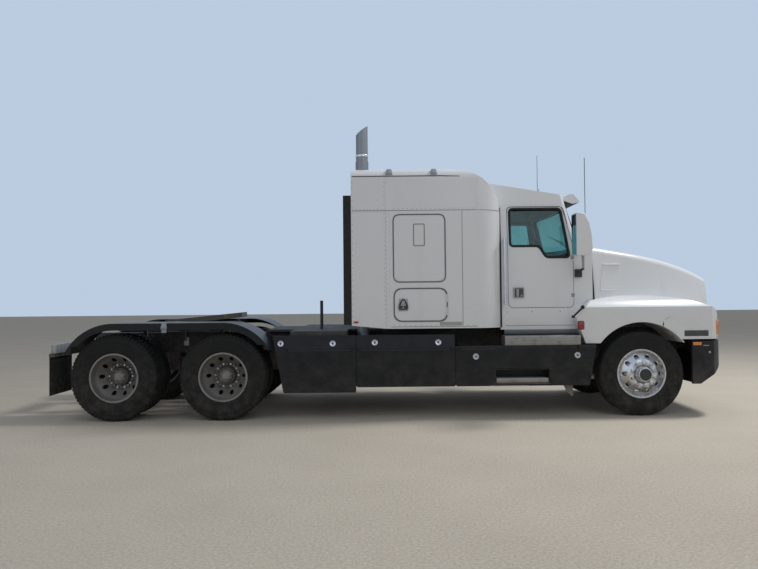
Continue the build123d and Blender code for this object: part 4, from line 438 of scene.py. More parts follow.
# %% World and lamps
world = bpy.data.worlds.new("studio")
bpy.context.scene.world = world
world.use_nodes = True
air = world.node_tree
background = air.nodes["Background"]
rays = air.nodes.new("ShaderNodeLightPath")
either = air.nodes.new("ShaderNodeMath")
either.operation = "MAXIMUM"
air.links.new(rays.outputs["Is Camera Ray"], either.inputs[0])
air.links.new(rays.outputs["Is Glossy Ray"], either.inputs[1])
tint = air.nodes.new("ShaderNodeMix")
tint.data_type = "RGBA"
air.links.new(either.outputs[0], tint.inputs[0])
LIT_BY, SEEN_AS = (0.26, 0.28, 0.31, 1), (0.50, 0.60, 0.74, 1)
tint.inputs[6].default_value, tint.inputs[7].default_value = LIT_BY, SEEN_AS
air.links.new(tint.outputs[2], background.inputs["Color"])


def lamp(name, size, power, place, target):
    """A square soft lamp that looks at a point."""
    light = bpy.data.lights.new(name, "AREA")
    light.size = size
    light.energy = power
    holder = bpy.data.objects.new(name, light)
    bpy.context.scene.collection.objects.link(holder)
    holder.location = place
    holder.rotation_euler = (Vector(target) - Vector(place)).to_track_quat("-Z", "Y").to_euler()


lamp("key", 9, 160, (5, -10, 8), (0, 0, 1.5))
lamp("fill", 10, 105, (-8, -10, 5), (0, 0, 1.2))
lamp("sun", 2, 850, (8, 0.5, 11), (0, 0, 1.5))
bpy.context.scene.view_settings.view_transform = "Standard"
print("world and three lamps")

# %% [markdown]
# Every piece below starts as a primitive and is shaped in edit mode, so a few
# helpers keep that short: one makes a piece the only thing selected, one settles a
# finished piece at the origin with its place in its mesh, and one gives it its
# finish and its body and, where it stands for a CAD node, hides that node.

# %% Selecting, settling and handing over a piece
def alone(piece):
    if bpy.context.object and bpy.context.object.mode != "OBJECT":
        bpy.ops.object.mode_set(mode="OBJECT")
    bpy.ops.object.select_all(action="DESELECT")
    piece.select_set(True)
    bpy.context.view_layer.objects.active = piece


def settle(piece, name):
    alone(piece)
    bpy.ops.object.transform_apply(location=True, rotation=True, scale=True)
    piece.name = name
    piece.data.name = name
    return piece


def modify(piece, kind, **settings):
    """Add one modifier and apply it."""
    alone(piece)
    modifier = piece.modifiers.new(kind.lower(), kind)
    for setting, value in settings.items():
        setattr(modifier, setting, value)
    bpy.ops.object.modifier_apply(modifier=modifier.name)
    return piece


def mend(piece, distance=0.00002):
    """Join the points that lie together and turn every face outwards."""
    alone(piece)
    bpy.ops.object.mode_set(mode="EDIT")
    bpy.ops.mesh.select_all(action="SELECT")
    bpy.ops.mesh.remove_doubles(threshold=distance)
    bpy.ops.mesh.normals_make_consistent(inside=False)
    bpy.ops.object.mode_set(mode="OBJECT")
    return piece


def smooth(piece, angle=32):
    alone(piece)
    bpy.ops.object.shade_smooth_by_angle(angle=radians(angle))
    return piece


made = []


def hand_over(piece, finish, body, stands_for=()):
    """Give a finished piece its material and its body."""
    piece.data.materials.clear()
    piece.data.materials.append(finishes[finish])
    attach(piece, body)
    if stands_for:
        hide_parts(*stands_for)
    made.append(piece)
    return piece


def joined(pieces, name):
    """Several pieces made one."""
    alone(pieces[0])
    for piece in pieces[1:]:
        piece.select_set(True)
    if len(pieces) > 1:
        bpy.ops.object.join()
    pieces[0].name = name
    pieces[0].data.name = name
    return pieces[0]


def copy_of(piece, name, change=None):
    """A copy with its own mesh, moved or mirrored by a matrix."""
    twin = piece.copy()
    twin.data = piece.data.copy()
    bpy.context.scene.collection.objects.link(twin)
    twin.name = name
    twin.data.name = name
    if change is not None:
        twin.data.transform(change)
        if change.determinant() < 0:
            twin.data.flip_normals()
    return twin


ACROSS = Matrix.Scale(-1, 4, (0, 1, 0))


def mirrored(pieces, name, finish, body="chassis", stands_for=()):
    """Pieces and their mirror image across the truck, handed over as one piece."""
    half = joined(pieces, name)
    whole = joined([half, copy_of(half, name + "_twin", ACROSS)], name)
    return hand_over(whole, finish, body, stands_for)


# %% [markdown]
# Four ways of shaping cover nearly every part of a truck: a block with rounded
# edges, a flat outline pulled to a thickness, a profile spun round an axle, and a
# bar run through a few points. Each is what a hand would do in edit mode, so the
# names of the operators are the ones in Blender's own menus.

# %% Block and outline
def block(name, low, high, rounding=0.0, segments=2):
    middle = [(a + b) / 2 for a, b in zip(low, high)]
    bpy.ops.object.select_all(action="DESELECT")
    bpy.ops.mesh.primitive_cube_add(size=1, location=middle)
    piece = bpy.context.object
    piece.scale = [b - a for a, b in zip(low, high)]
    settle(piece, name)
    if rounding:
        modify(piece, "BEVEL", width=rounding, segments=segments, limit_method="NONE")
        smooth(piece)
    return piece


def outline(name, corners, axis, low, high, rounding=0.0, segments=2):
    """A closed outline in the plane across axis, extruded from low to high."""
    third = "XYZ".index(axis)
    first, second = [index for index in range(3) if index != third]

    def spot(corner, height):
        point = [0.0, 0.0, 0.0]
        point[first], point[second], point[third] = corner[0], corner[1], height
        return Vector(point)

    bpy.ops.object.select_all(action="DESELECT")
    bpy.ops.mesh.primitive_plane_add(size=0.01, location=spot(corners[0], low))
    piece = bpy.context.object
    bpy.ops.object.mode_set(mode="EDIT")
    bpy.ops.mesh.select_mode(type="VERT")
    bpy.ops.mesh.merge(type="CENTER")
    for before, after in zip(corners, corners[1:]):
        bpy.ops.mesh.extrude_region_move(
            TRANSFORM_OT_translate={"value": spot(after, low) - spot(before, low)})
    bpy.ops.mesh.select_all(action="SELECT")
    bpy.ops.mesh.edge_face_add()
    rise = spot(corners[0], high) - spot(corners[0], low)
    bpy.ops.mesh.extrude_region_move(TRANSFORM_OT_translate={"value": rise})
    bpy.ops.object.mode_set(mode="OBJECT")
    settle(piece, name)
    mend(piece)
    if rounding:
        modify(piece, "BEVEL", width=rounding, segments=segments, limit_method="ANGLE",
               angle_limit=radians(30))
        smooth(piece)
    return piece


# %% Lathe and bar
def lathe(name, profile, centre, steps=64, axis=(0, 1, 0)):
    """A profile of (along the axle, radius) pairs, spun round an axle through centre."""
    along = Vector(axis).normalized()
    out = along.orthogonal().normalized() if abs(along.y) < 0.9 else Vector((0, 0, 1))
    points = [Vector(centre) + along * run + out * radius for run, radius in profile]
    bpy.ops.object.select_all(action="DESELECT")
    bpy.ops.mesh.primitive_plane_add(size=0.01, location=points[0])
    piece = bpy.context.object
    bpy.ops.object.mode_set(mode="EDIT")
    bpy.ops.mesh.select_mode(type="VERT")
    bpy.ops.mesh.merge(type="CENTER")
    for before, after in zip(points, points[1:]):
        bpy.ops.mesh.extrude_region_move(TRANSFORM_OT_translate={"value": after - before})
    bpy.ops.mesh.select_all(action="SELECT")
    bpy.ops.mesh.spin(steps=steps, angle=2 * pi, center=centre, axis=along)
    bpy.ops.object.mode_set(mode="OBJECT")
    settle(piece, name)
    mend(piece, 0.0001)
    return smooth(piece)


def bar(name, points, radius, sides=10, kind="POLY", closed=False):
    """A round bar, pipe or wire through a few points."""
    bpy.ops.object.select_all(action="DESELECT")
    bpy.ops.curve.primitive_nurbs_path_add()
    piece = bpy.context.object
    piece.data.splines.clear()
    spline = piece.data.splines.new(kind)
    spline.points.add(len(points) - 1)
    for target, point in zip(spline.points, points):
        target.co = (*point, 1)
    spline.use_cyclic_u = closed
    if kind == "NURBS":
        spline.order_u = 3
        spline.use_endpoint_u = True
        spline.resolution_u = 6
    piece.data.bevel_depth = radius
    piece.data.bevel_resolution = max(1, sides // 4)
    piece.data.use_fill_caps = True
    alone(piece)
    bpy.ops.object.convert(target="MESH")
    piece = bpy.context.object
    settle(piece, name)
    mend(piece)
    return smooth(piece)


# %% [markdown]
# Panels that the CAD already shapes well keep that shape. They could be modelled
# again, but a copy of the node's mesh is exact: its loose triangles are joined, its
# edges broken with a small bevel that catches the light as a pressed or moulded edge
# does, and its curves shaded smooth. Faces that look inwards get dark trim, because a
# real cab isn't white inside.

# %% Copy a CAD node as a finished panel
def panel(node, edge=0.004, angle=34, flat=0.6, finish=None, name=None):
    piece = copy_of(nodes[node], name or node + "_skin")
    piece.parent = None
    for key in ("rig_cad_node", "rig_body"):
        if key in piece:
            del piece[key]
    alone(piece)
    bpy.ops.object.mode_set(mode="EDIT")
    bpy.ops.mesh.select_all(action="SELECT")
    bpy.ops.mesh.remove_doubles(threshold=0.00005)
    if flat:
        bpy.ops.mesh.dissolve_limited(angle_limit=radians(flat))
    bpy.ops.object.mode_set(mode="OBJECT")
    if edge:
        modify(piece, "BEVEL", width=edge, segments=2, limit_method="ANGLE",
               angle_limit=radians(angle), use_clamp_overlap=True)
    smooth(piece, angle)
    modify(piece, "WEIGHTED_NORMAL", keep_sharp=True)
    return hand_over(piece, finish or slot_of[node], body_of[node], (node,))


def refinish(piece, finish, chosen):
    """Another finish for the faces that the test picks."""
    piece.data.materials.append(finishes[finish])
    for face in piece.data.polygons:
        if chosen(face.center, face.normal):
            face.material_index = len(piece.data.materials) - 1
    return piece


# %% Body panels
HANDLE_OUT = 1.003


def faces_inwards(centre, normal):
    return centre.y * normal.y < -0.3


for node in ("luggage_door_right", "luggage_door_left", "hood", "side_extenders"):
    panel(node)
for node in ("cab_roof", "cab_cowl", "sleeper_roof"):
    refinish(panel(node), "dark_trim",
             lambda centre, normal: normal.z < -0.3 and abs(centre.y) < 0.95)
for node in ("cab_sides", "sleeper_sides", "sleeper_rear"):
    refinish(panel(node), "dark_trim",
             lambda centre, normal: faces_inwards(centre, normal) and abs(centre.y) > 0.5)
for node in ("door_right", "door_left"):
    door = refinish(panel(node), "dark_trim", faces_inwards)
    refinish(door, "handle_grey", lambda centre, normal: abs(centre.y) > HANDLE_OUT)
panel("bumper", 0.008, finish="bumper_black")
panel("side_skirts", 0.003)
panel("rear_fenders", 0.003)
print("panels", len(made))

# %% [markdown]
# Much on a truck repeats: lugs round a tyre, rivets along a seam, tanks and doors on
# both sides. Array and mirror modifiers could repeat them. Here one piece is modelled
# and copied by a matrix, each copy with its own mesh, because a copy can then ride on
# another body. Corners of gaskets and plates are rounded by one small function.

# %% Copies round an axle, in a row, and on both sides
def turned(angle, centre):
    """A turn about a wheel's axle."""
    return (Matrix.Translation(centre) @ Matrix.Rotation(angle, 4, "Y")
            @ Matrix.Translation(-Vector(centre)))


def around(piece, name, count, centre):
    """Copies spread evenly round a wheel's axle, as one piece."""
    copies = [copy_of(piece, name, turned(2 * pi * index / count, centre))
              for index in range(1, count)]
    return joined([piece] + copies, name)


def in_places(piece, name, steps):
    """A piece and its copies moved by each step, as one piece."""
    copies = [copy_of(piece, name, Matrix.Translation(step)) for step in steps]
    return joined([piece] + copies, name)


def on_both_sides(piece, name, finish, body):
    """Hand over a right-hand piece and its mirror image, each to its own side's body."""
    twin = copy_of(piece, name + "_left", ACROSS)
    piece.name = piece.data.name = name + "_right"
    hand_over(piece, finish, body + "_right")
    return hand_over(twin, finish, body + "_left")


def rounded(corners, radius, steps=4):
    """The corners of a closed outline, each one rounded."""
    points = []
    for index, corner in enumerate(corners):
        here = Vector(corner)
        back = Vector(corners[index - 1]) - here
        ahead = Vector(corners[(index + 1) % len(corners)]) - here
        reach = min(radius, 0.45 * back.length, 0.45 * ahead.length)
        start = here + back.normalized() * reach
        end = here + ahead.normalized() * reach
        for step in range(steps + 1):
            t = step / steps
            points.append(tuple(start * (1 - t) ** 2 + here * (2 * t * (1 - t)) + end * t ** 2))
    return points


def oblong(low, high):
    """The four corners of an upright rectangle."""
    return [(low[0], low[1]), (high[0], low[1]), (high[0], high[1]), (low[0], high[1])]


OUTWARD = (0, -1, 0)  # straight out of the truck's right side


# %% [markdown]
# A tyre is one closed section spun round the axle: bead, bulging sidewall with its
# rings, shoulder, grooved tread and, inside, the liner. A torus would need its tread
# pressed in afterwards, while a spun section has beads and rings from the start.
# Steer tyres have plain ribs, with fine radial ridges moulded on the shoulder.

# %% Tyre sections
STEER = {"radius": 0.512, "half": 0.142, "x": 3.032, "y": 1.0}
DRIVE = {"radius": 0.525, "half": 0.1395, "x": (-2.0645, -3.3855), "y": (1.08, 0.737)}


def tyre_body(name, centre, kind, grooves, depth, shoulder, drop):
    """A tyre without its lugs; drop is how far the tread is lowered for lugs."""
    radius, half = kind["radius"] - drop, kind["half"]
    side = [(0.100, 0.291), (0.112, 0.297), (0.117, 0.308), (0.1235, 0.312), (0.1275, 0.322),
            (0.1275, 0.328), (half - 0.009, 0.350), (half - 0.002, 0.385), (half - 0.0005, 0.412),
            (half - 0.002, 0.434), (half + 0.0008, 0.436), (half + 0.0008, 0.441),
            (half - 0.004, 0.443), (half - 0.012, 0.466), (shoulder + 0.010, radius - 0.024),
            (shoulder + 0.003, radius - 0.008), (shoulder - 0.006, radius)]
    tread = []
    for groove in grooves:
        tread += [(groove - 0.006, radius), (groove - 0.0035, radius - depth),
                  (groove + 0.0035, radius - depth), (groove + 0.006, radius)]
    liner = [(0.09, 0.300), (0.112, 0.35), (half - 0.018, 0.41), (0.09, radius - 0.034)]
    section = ([(-y, r) for y, r in side] + tread + side[::-1] + liner
               + [(-y, r) for y, r in liner[::-1]] + [(-side[0][0], side[0][1])])
    return lathe(name, section, centre, 96)


# %% Steer tyres
RIDGES = 120


def steer_tyre(side):
    centre = Vector((STEER["x"], -STEER["y"], STEER["radius"]))
    grooves = (-0.074, -0.027, 0.027, 0.074)
    body = tyre_body("tyre_" + side, centre, STEER, grooves, 0.012, 0.112, 0.0)
    ridges = []
    for face in (-1, 1):
        low, high = sorted((face * 0.1215, face * 0.1325))
        ridge = block("ridge", centre + Vector((-0.0016, low, 0.447)),
                      centre + Vector((0.0016, high, 0.470)))
        ridges.append(around(ridge, "ridge", RIDGES, centre))
    tyre = joined([body] + ridges, "tyre_front_%s_tread" % side)
    if side == "left":
        tyre.data.transform(ACROSS)
        tyre.data.flip_normals()
    return hand_over(tyre, "tyre", "wheel_front_" + side, ("tyre_front_" + side,))


for side in ("right", "left"):
    steer_tyre(side)
print("steer tyres of", len(made[-1].data.polygons), "faces")

# %% [markdown]
# Drive tyres have open shoulders that bite in mud: a row of blocks on each shoulder, a
# row inside each of those, and one down the middle. Cutting slots into a ring would
# leave thousands of thin faces, so the set of blocks at the top of the tyre is modelled
# and copied round it. The two inner rows are turned by a third of the spacing, one
# forwards and one back, so that the blocks don't line up across the tread.

# %% Drive tyres with open shoulders
LUGS = 68


def drive_tyre():
    """One drive tyre, standing at the outer right place of the leading axle."""
    centre = Vector((DRIVE["x"][0], -DRIVE["y"][0], DRIVE["radius"]))
    body = tyre_body("tyre_drive", centre, DRIVE, (-0.022, 0.022), 0.004, 0.110, 0.010)
    top = DRIVE["radius"]
    lugs = []
    for face in (-1, 1):
        corners = [(0.072, top - 0.014), (0.072, top - 0.0006), (0.106, top - 0.0012),
                   (0.1175, top - 0.012), (0.1265, top - 0.040), (0.122, top - 0.044),
                   (0.104, top - 0.026)]
        corners = [(centre.y + face * y, centre.z + z) for y, z in corners]
        lugs.append(outline("lug", corners, "X", centre.x - 0.0175, centre.x + 0.0175, 0.002, 1))
        low, high = sorted((face * 0.028, face * 0.064))
        inner = block("lug", centre + Vector((-0.017, low, top - 0.014)),
                      centre + Vector((0.017, high, top - 0.0004)), 0.002, 1)
        inner.data.transform(turned(2 * pi / LUGS * 0.35 * face, centre))
        lugs.append(inner)
    middle = block("lug", centre + Vector((-0.018, -0.017, top - 0.014)),
                   centre + Vector((0.018, 0.017, top - 0.0004)), 0.002, 1)
    lugs.append(middle)
    lugs = around(joined(lugs, "lugs"), "lugs", LUGS, centre)
    return joined([body, lugs], "drive_tyre")


first = drive_tyre()
outer_x, outer_y = DRIVE["x"][0], DRIVE["y"][0]
for number, x in enumerate(DRIVE["x"], 1):
    for side, sign in (("right", -1), ("left", 1)):
        pair = [copy_of(first, "pair", Matrix.Translation((x - outer_x, sign * y + outer_y, 0)))
                for y in DRIVE["y"]]
        name = "drive_%d_%s" % (number, side)
        hand_over(joined(pair, "tyres_%s_tread" % name), "tyre", "wheels_" + name,
                  ("tyres_" + name,))
bpy.data.objects.remove(first)
print("drive tyres, each pair of", len(made[-1].data.polygons), "faces")

# %% [markdown]
# The rims keep the CAD's shape, with its hand holes and nuts, and only need their
# curves shaded smooth. The front hub wears a black cap with a rounded rim. The ends of
# the half shafts are bare rusty flanges with a ring of bolts, and the wheel nuts round
# them have bright covers. All of them are round, so they come from the lathe; one bolt
# of six sides is a lathe with six steps.

# %% Rims, hub caps and shaft flanges
for node in ("rim_front_right", "rim_front_left", "rims_drive_1_right", "rims_drive_1_left",
             "rims_drive_2_right", "rims_drive_2_left"):
    panel(node, 0, 30, 0)

hub = Vector((STEER["x"], 0, STEER["radius"]))
cap = lathe("hub_cap", [(1.150, 0.0), (1.150, 0.088), (1.158, 0.090), (1.205, 0.089),
                        (1.232, 0.083), (1.2425, 0.072), (1.2445, 0.068), (1.2455, 0.050),
                        (1.2435, 0.047), (1.2430, 0.0)], hub, 48, OUTWARD)
lobe = lathe("lobe", [(1.222, 0.0), (1.222, 0.012), (1.2435, 0.0105), (1.2470, 0.008),
                      (1.2470, 0.0)], hub + Vector((0.058, 0, 0)), 10, OUTWARD)
cap = joined([cap, around(lobe, "lobe", 8, hub)], "hub_cap")
on_both_sides(cap, "hub_cap", "cap_black", "wheel_front")

for number, x in enumerate(DRIVE["x"], 1):
    axle = Vector((x, 0, DRIVE["radius"]))
    wheels = "wheels_drive_%d" % number
    flange = lathe("shaft_flange", [(1.010, 0.0), (1.010, 0.086), (1.020, 0.088), (1.0245, 0.084),
                                    (1.0245, 0.058), (1.031, 0.052), (1.036, 0.032), (1.036, 0.0)],
                   axle, 40, OUTWARD)
    bolt = lathe("bolt", [(1.018, 0.0), (1.018, 0.010), (1.033, 0.010), (1.035, 0.008),
                          (1.035, 0.0)], axle + Vector((0.072, 0, 0)), 6, OUTWARD)
    flange = joined([flange, around(bolt, "bolt", 8, axle)], "shaft_flange")
    on_both_sides(flange, "shaft_flange_%d" % number, "hub_rust", wheels)
    nut = lathe("nut", [(0.930, 0.0), (0.930, 0.018), (0.954, 0.0155), (0.959, 0.010),
                        (0.960, 0.0)], axle + Vector((0.143, 0, 0)), 6, OUTWARD)
    nuts = around(nut, "nut_covers", 10, axle)
    on_both_sides(nuts, "nut_covers_%d" % number, "bright_trim", wheels)
print("hub caps, shaft flanges and nut covers")

# %% [markdown]
# The sleeper box is riveted sheet with a moulded roof cap. What makes it read as that
# from a step away is small: a dark line under the cap, rows of domed rivets, rubber
# gaskets round the access door and the blank window panel, and a rain seam. Grooves
# could be cut into the sheet, but real seams are filled with a proud bead, so each is
# a thin bar laid on the flat side at 1170 mm from the middle, and copied across. The
# seam under the cap also follows the round front corner.

# %% Gaskets and seams of the sleeper
SLEEPER_Y = -1.170
CAP_Z = 2.53
FRONT_CORNER = ((1.0, -1.170), (1.1, -1.1638), (1.15, -1.1508), (1.2, -1.1295), (1.25, -1.0983),
                (1.28, -1.0729), (1.3, -1.0527), (1.32, -1.0287), (1.335, -1.0075))


def gasket(name, corners, radius, proud, round_by):
    """A round rubber bead laid flat on the side, along a rounded outline."""
    path = [(x, SLEEPER_Y - proud, z) for x, z in rounded(corners, round_by)]
    return bar(name, path, radius, closed=True)


beads = [
    gasket("blank_panel_gasket", oblong((0.012, 1.655), (0.646, 2.480)), 0.0065, 0.001, 0.08),
    gasket("access_door_gasket", oblong((0.016, 1.177), (0.664, 1.578)), 0.0065, 0.003, 0.10),
    gasket("vent_rim", oblong((0.262, 2.098), (0.392, 2.362)), 0.0045, 0.001, 0.012),
    bar("side_seam", [(0.853, SLEEPER_Y, 1.13), (0.853, SLEEPER_Y, 2.52)], 0.0028),
    bar("cap_seam", [(-0.49, SLEEPER_Y, CAP_Z)] + [(x, y, CAP_Z) for x, y in FRONT_CORNER], 0.0032),
    bar("sill_seam", [(-0.02, SLEEPER_Y, 1.112), (1.03, SLEEPER_Y, 1.112)], 0.003),
]
mirrored(beads, "sleeper_gaskets", "gasket_grey")
gutter = bar("roof_gutter", [(-0.485, -1.1655, 2.952), (0.60, -1.1655, 2.952),
                             (0.83, -1.162, 2.945)], 0.0055)
mirrored([gutter], "roof_gutter", "dark_trim")
print("gaskets of", len(made[-2].data.polygons), "faces")

# %% [markdown]
# A blind rivet shows as a low dome 12 mm across, and a row of them follows each frame
# member under the sheet. A bump texture could draw them, but raking light would show
# that they are flat. One dome of ten sides is spun and copied along each row.

# %% Rivets
def rivet(name, place, radius=0.006):
    dome = [(-0.001, 0.0), (-0.001, radius), (0.0012, radius * 0.92), (0.0026, radius * 0.5),
            (0.003, 0.0)]
    return lathe(name, dome, place, 10, OUTWARD)


def rivet_row(name, first, last, count):
    """Rivets on the sleeper's side between two points of (x, z)."""
    start, end = (Vector((x, SLEEPER_Y, z)) for x, z in (first, last))
    steps = [(end - start) * index / (count - 1) for index in range(1, count)]
    return in_places(rivet(name, start), name, steps)


ROWS = (((-0.068, 1.13), (-0.068, 2.50), 28), ((-0.095, 1.16), (-0.095, 2.88), 32),
        ((-0.475, 2.545), (-0.13, 2.545), 9), ((-0.475, 2.515), (-0.13, 2.515), 9),
        ((-0.485, 1.16), (-0.485, 2.88), 24), ((0.02, 1.128), (0.98, 1.128), 16),
        ((0.02, 2.552), (0.98, 2.552), 18))
mirrored([rivet_row("rivets", *row) for row in ROWS], "sleeper_rivets", "rivet_grey")
print(2 * sum(count for first, last, count in ROWS), "rivets")

# %% [markdown]
# A few things stand on those panels: two small lifting brackets at the roof's edge, a
# bare plate low at the front, a screw low at the back, and on the access door a dark
# dished latch with a grey paddle. The dish could be cut with a boolean. Insetting its
# face and pushing that in does the same with clean edges.

# %% Brackets and plate of the sleeper
brackets = []
for low_x in (-0.078, 0.468):
    corners = rounded([(low_x, 2.958), (low_x + 0.094, 2.958), (low_x + 0.078, 3.040),
                       (low_x + 0.016, 3.040)], 0.014)
    brackets.append(outline("bracket", corners, "Y", -1.158, -1.115, 0.003))
    brackets.append(rivet("bracket_screw", (low_x + 0.047, -1.158, 2.995), 0.010))
mirrored(brackets, "roof_brackets", "plate_grey")

plate = outline("bare_plate", rounded(oblong((0.570, 1.124), (0.842, 1.168)), 0.006), "Y",
                -1.1735, -1.1695, 0.001)
hand_over(plate, "handle_grey", "chassis")
hand_over(rivet("side_screw", (-0.444, SLEEPER_Y, 1.168), 0.012), "dark_trim", "chassis")
print("roof brackets, plate and screw")


# %% Access latch and the boot between sleeper and cab
def paddle_latch():
    """A dished escutcheon with rounded corners and the paddle that fills its upper half."""
    corners = [(0.068, 1.318), (0.186, 1.318), (0.186, 1.370), (0.150, 1.448), (0.104, 1.448),
               (0.068, 1.370)]
    dish = outline("latch", rounded(corners, 0.025, 5), "Y", -1.196, -1.1865, 0.003)
    alone(dish)
    bpy.ops.object.mode_set(mode="EDIT")
    bpy.ops.mesh.select_mode(type="FACE")
    bpy.ops.mesh.select_all(action="DESELECT")
    bpy.ops.object.mode_set(mode="OBJECT")
    face = min(dish.data.polygons, key=lambda polygon: polygon.center.y - polygon.area)
    face.select = True
    bpy.ops.object.mode_set(mode="EDIT")
    bpy.ops.mesh.inset(thickness=0.010)
    bpy.ops.mesh.extrude_region_move(TRANSFORM_OT_translate={"value": (0, 0.006, 0)})
    bpy.ops.mesh.select_mode(type="VERT")
    bpy.ops.object.mode_set(mode="OBJECT")
    corners = rounded([(0.094, 1.366), (0.160, 1.366), (0.142, 1.430), (0.112, 1.430)], 0.010)
    paddle = outline("paddle", corners, "Y", -1.1975, -1.188, 0.002)
    lock = lathe("lock", [(0.0, 0.0), (0.0, 0.011), (0.009, 0.011), (0.010, 0.008), (0.0085, 0.003),
                          (0.0085, 0.0)], (0.127, -1.1885, 1.345), 20, OUTWARD)
    return dish, joined([paddle, lock], "access_paddle")


dish, paddle = paddle_latch()
on_both_sides(dish, "access_latch", "plate_dark", "luggage_door")
on_both_sides(paddle, "access_paddle", "handle_grey", "luggage_door")

BOOT_X = 1.3465
boot = [(BOOT_X, y, z) for y, z in ((-1.006, 1.09), (-1.006, 2.07), (-0.952, 2.58))]
mirrored([bar("sleeper_boot", boot, 0.009)], "sleeper_boot", "rubber")
print("latches and boot")

# %% [markdown]
# The door's window sits in a thick black rubber frame that steps down at the front.
# An inset of the door's own faces would only follow the opening where the CAD's
# triangles allow it, so the frame is a bead laid along the window's corners on the
# leaning upper door. A second bead behind it closes the gap to the glass.

# %% Window rubbers
CAB_Y, BELT_Z, LEAN = -1.0, 2.07, 0.106


def lean(z):
    """How far out the cab's side is at a height: upright to the belt, then leaning in."""
    return CAB_Y + max(0.0, z - BELT_Z) * LEAN


window = rounded([(1.470, 2.094), (1.826, 2.094), (1.914, 1.952), (2.203, 1.952), (2.109, 2.563),
                  (1.470, 2.563)], 0.045)
frame_bead = bar("window_rubber", [(x, lean(z) - 0.002, z) for x, z in window], 0.0155, closed=True)
inner_bead = bar("window_rubber", [(x, lean(z) + 0.028, z) for x, z in window], 0.012, closed=True)
sweep = bar("window_rubber", [(x, lean(2.1) + 0.006, 2.100) for x in (1.475, 1.822)], 0.010)
rubbers = joined([frame_bead, inner_bead, sweep], "window_rubber")
on_both_sides(rubbers, "window_rubber", "rubber", "door")

edge = rounded([(1.438, 1.328), (2.258, 1.328), (2.258, 2.070), (2.142, 2.591),
                (1.438, 2.591)], 0.06)
seal = bar("door_seal", [(x, lean(z) + 0.010, z) for x, z in edge], 0.005, closed=True)
mirrored([seal], "door_seal", "rubber")
print("window rubbers and door seals")

# %% [markdown]
# The handle is a grey pull and a round lock on a dark pan. Below the door the white sill
# rolls under in one section, with three screws. Its grey blue is painted shade and painted
# sky reflection on the white paint, and the dark bar above it is a painted shadow line. A
# bevelled block would roll only with a round edge; drawing the section and pulling it along
# the cab gives the flatter curve of pressed sheet.

# %% Door handles and sill
def door_handle():
    """The pull and lock; the dark pan behind them is a piece of its own."""
    corners = rounded([(1.535, 1.466), (1.562, 1.466), (1.566, 1.562), (1.531, 1.562)], 0.008)
    pull = outline("pull", corners, "Y", -1.033, -1.0225, 0.004, 3)
    lock = lathe("lock", [(0.0, 0.0), (0.0, 0.010), (0.006, 0.010), (0.007, 0.007), (0.006, 0.0)],
                 (1.598, -1.022, 1.480), 18, OUTWARD)
    return joined([pull, lock], "door_handle")


on_both_sides(door_handle(), "door_handle", "handle_grey", "door")
pan = outline("pan", rounded(oblong((1.514, 1.462), (1.620, 1.568)), 0.012), "Y",
              -1.0235, -1.021, 0.0005, 1)
on_both_sides(pan, "handle_pan", "plate_dark", "door")
screws = [rivet("sill_screws", (x, CAB_Y, 1.277), 0.008) for x in (1.419, 1.728, 2.080)]
mirrored(screws, "sill_screws", "plate_grey")

# The sill's grey blue finish is painted shade and painted sky reflection on white paint, not a grey
# part.
section = [(-0.9985, 1.062), (-1.002, 1.052), (-0.998, 1.030), (-0.986, 1.006), (-0.962, 0.992),
           (-0.930, 0.988), (-0.930, 1.000), (-0.958, 1.006), (-0.976, 1.018), (-0.986, 1.040),
           (-0.988, 1.062)]
sill = outline("cab_sill", section, "X", 1.385, 2.400, 0.002)
mirrored([sill], "cab_sill", "sill_painted_shade")
# A thin dark bar along the top of the sill: a painted shadow line where the sill rolls under.
sill_shadow = bar("sill_line", [(1.40, -1.001, 1.108), (2.25, -1.001, 1.108)], 0.0025)
mirrored([sill_shadow], "sill_line", "gasket_grey")
print("door handles and sill")

# %% [markdown]
# Round the windshield runs a black rubber with a rounded section, and at its foot lie
# two wipers, each an arm from a spindle and a blade along the glass. They could be
# snapped to the glass, but the script would then depend on its triangles. The glass
# leans back between its low edge and its high edge, so points on it are worked out
# from those two edges. A whip antenna stands on the roof.

# %% Windshield rubber and wipers
def on_glass(y, share, lift=0.0):
    """A point on the windshield, share of the way up; the glass bows forward in the middle."""
    half = 0.860 - 0.05 * share
    bow = 0.035 * (1 - min(1.0, abs(y) / half) ** 2)
    return (2.485 - 0.272 * share + bow + lift, y, 2.112 + 0.488 * share + lift * 0.5)


wipers = []
for pivot, tip in ((-0.62, -0.06), (0.10, 0.66)):
    arm = [on_glass(pivot, 0.0, 0.012), on_glass((pivot + tip) / 2, 0.20, 0.022),
           on_glass(tip - 0.12, 0.36, 0.018)]
    wipers.append(bar("wiper", arm, 0.006, kind="NURBS"))
    blade = [on_glass(tip - 0.42, 0.22, 0.009), on_glass(tip + 0.06, 0.50, 0.009)]
    wipers.append(bar("wiper", blade, 0.006))
hand_over(joined(wipers, "wipers"), "dark_trim", "chassis")

half_rubber = [(2.520, 0.0, 2.114), (2.490, -0.30, 2.114), (2.430, -0.60, 2.116),
               (2.358, -0.80, 2.118), (2.322, -0.846, 2.150), (2.272, -0.850, 2.350),
               (2.214, -0.808, 2.560), (2.222, -0.775, 2.594), (2.256, -0.50, 2.602),
               (2.283, -0.25, 2.604), (2.294, 0.0, 2.604)]
rubber_path = half_rubber + [(x, -y, z) for x, y, z in half_rubber[-2:0:-1]]
hand_over(bar("windshield_rubber", rubber_path, 0.012, closed=True), "rubber", "chassis")

WHIP = 0.672
whip = lathe("roof_antenna", [(0.0, 0.0), (0.0, 0.016), (0.014, 0.013), (0.030, 0.006),
                              (0.060, 0.004), (WHIP, 0.0028), (WHIP, 0.0)],
             (2.05, 0.0, 2.757), 12, (0, 0, 1))
hand_over(whip, "dark_trim", "chassis")
print("windshield rubber, wipers and antenna")

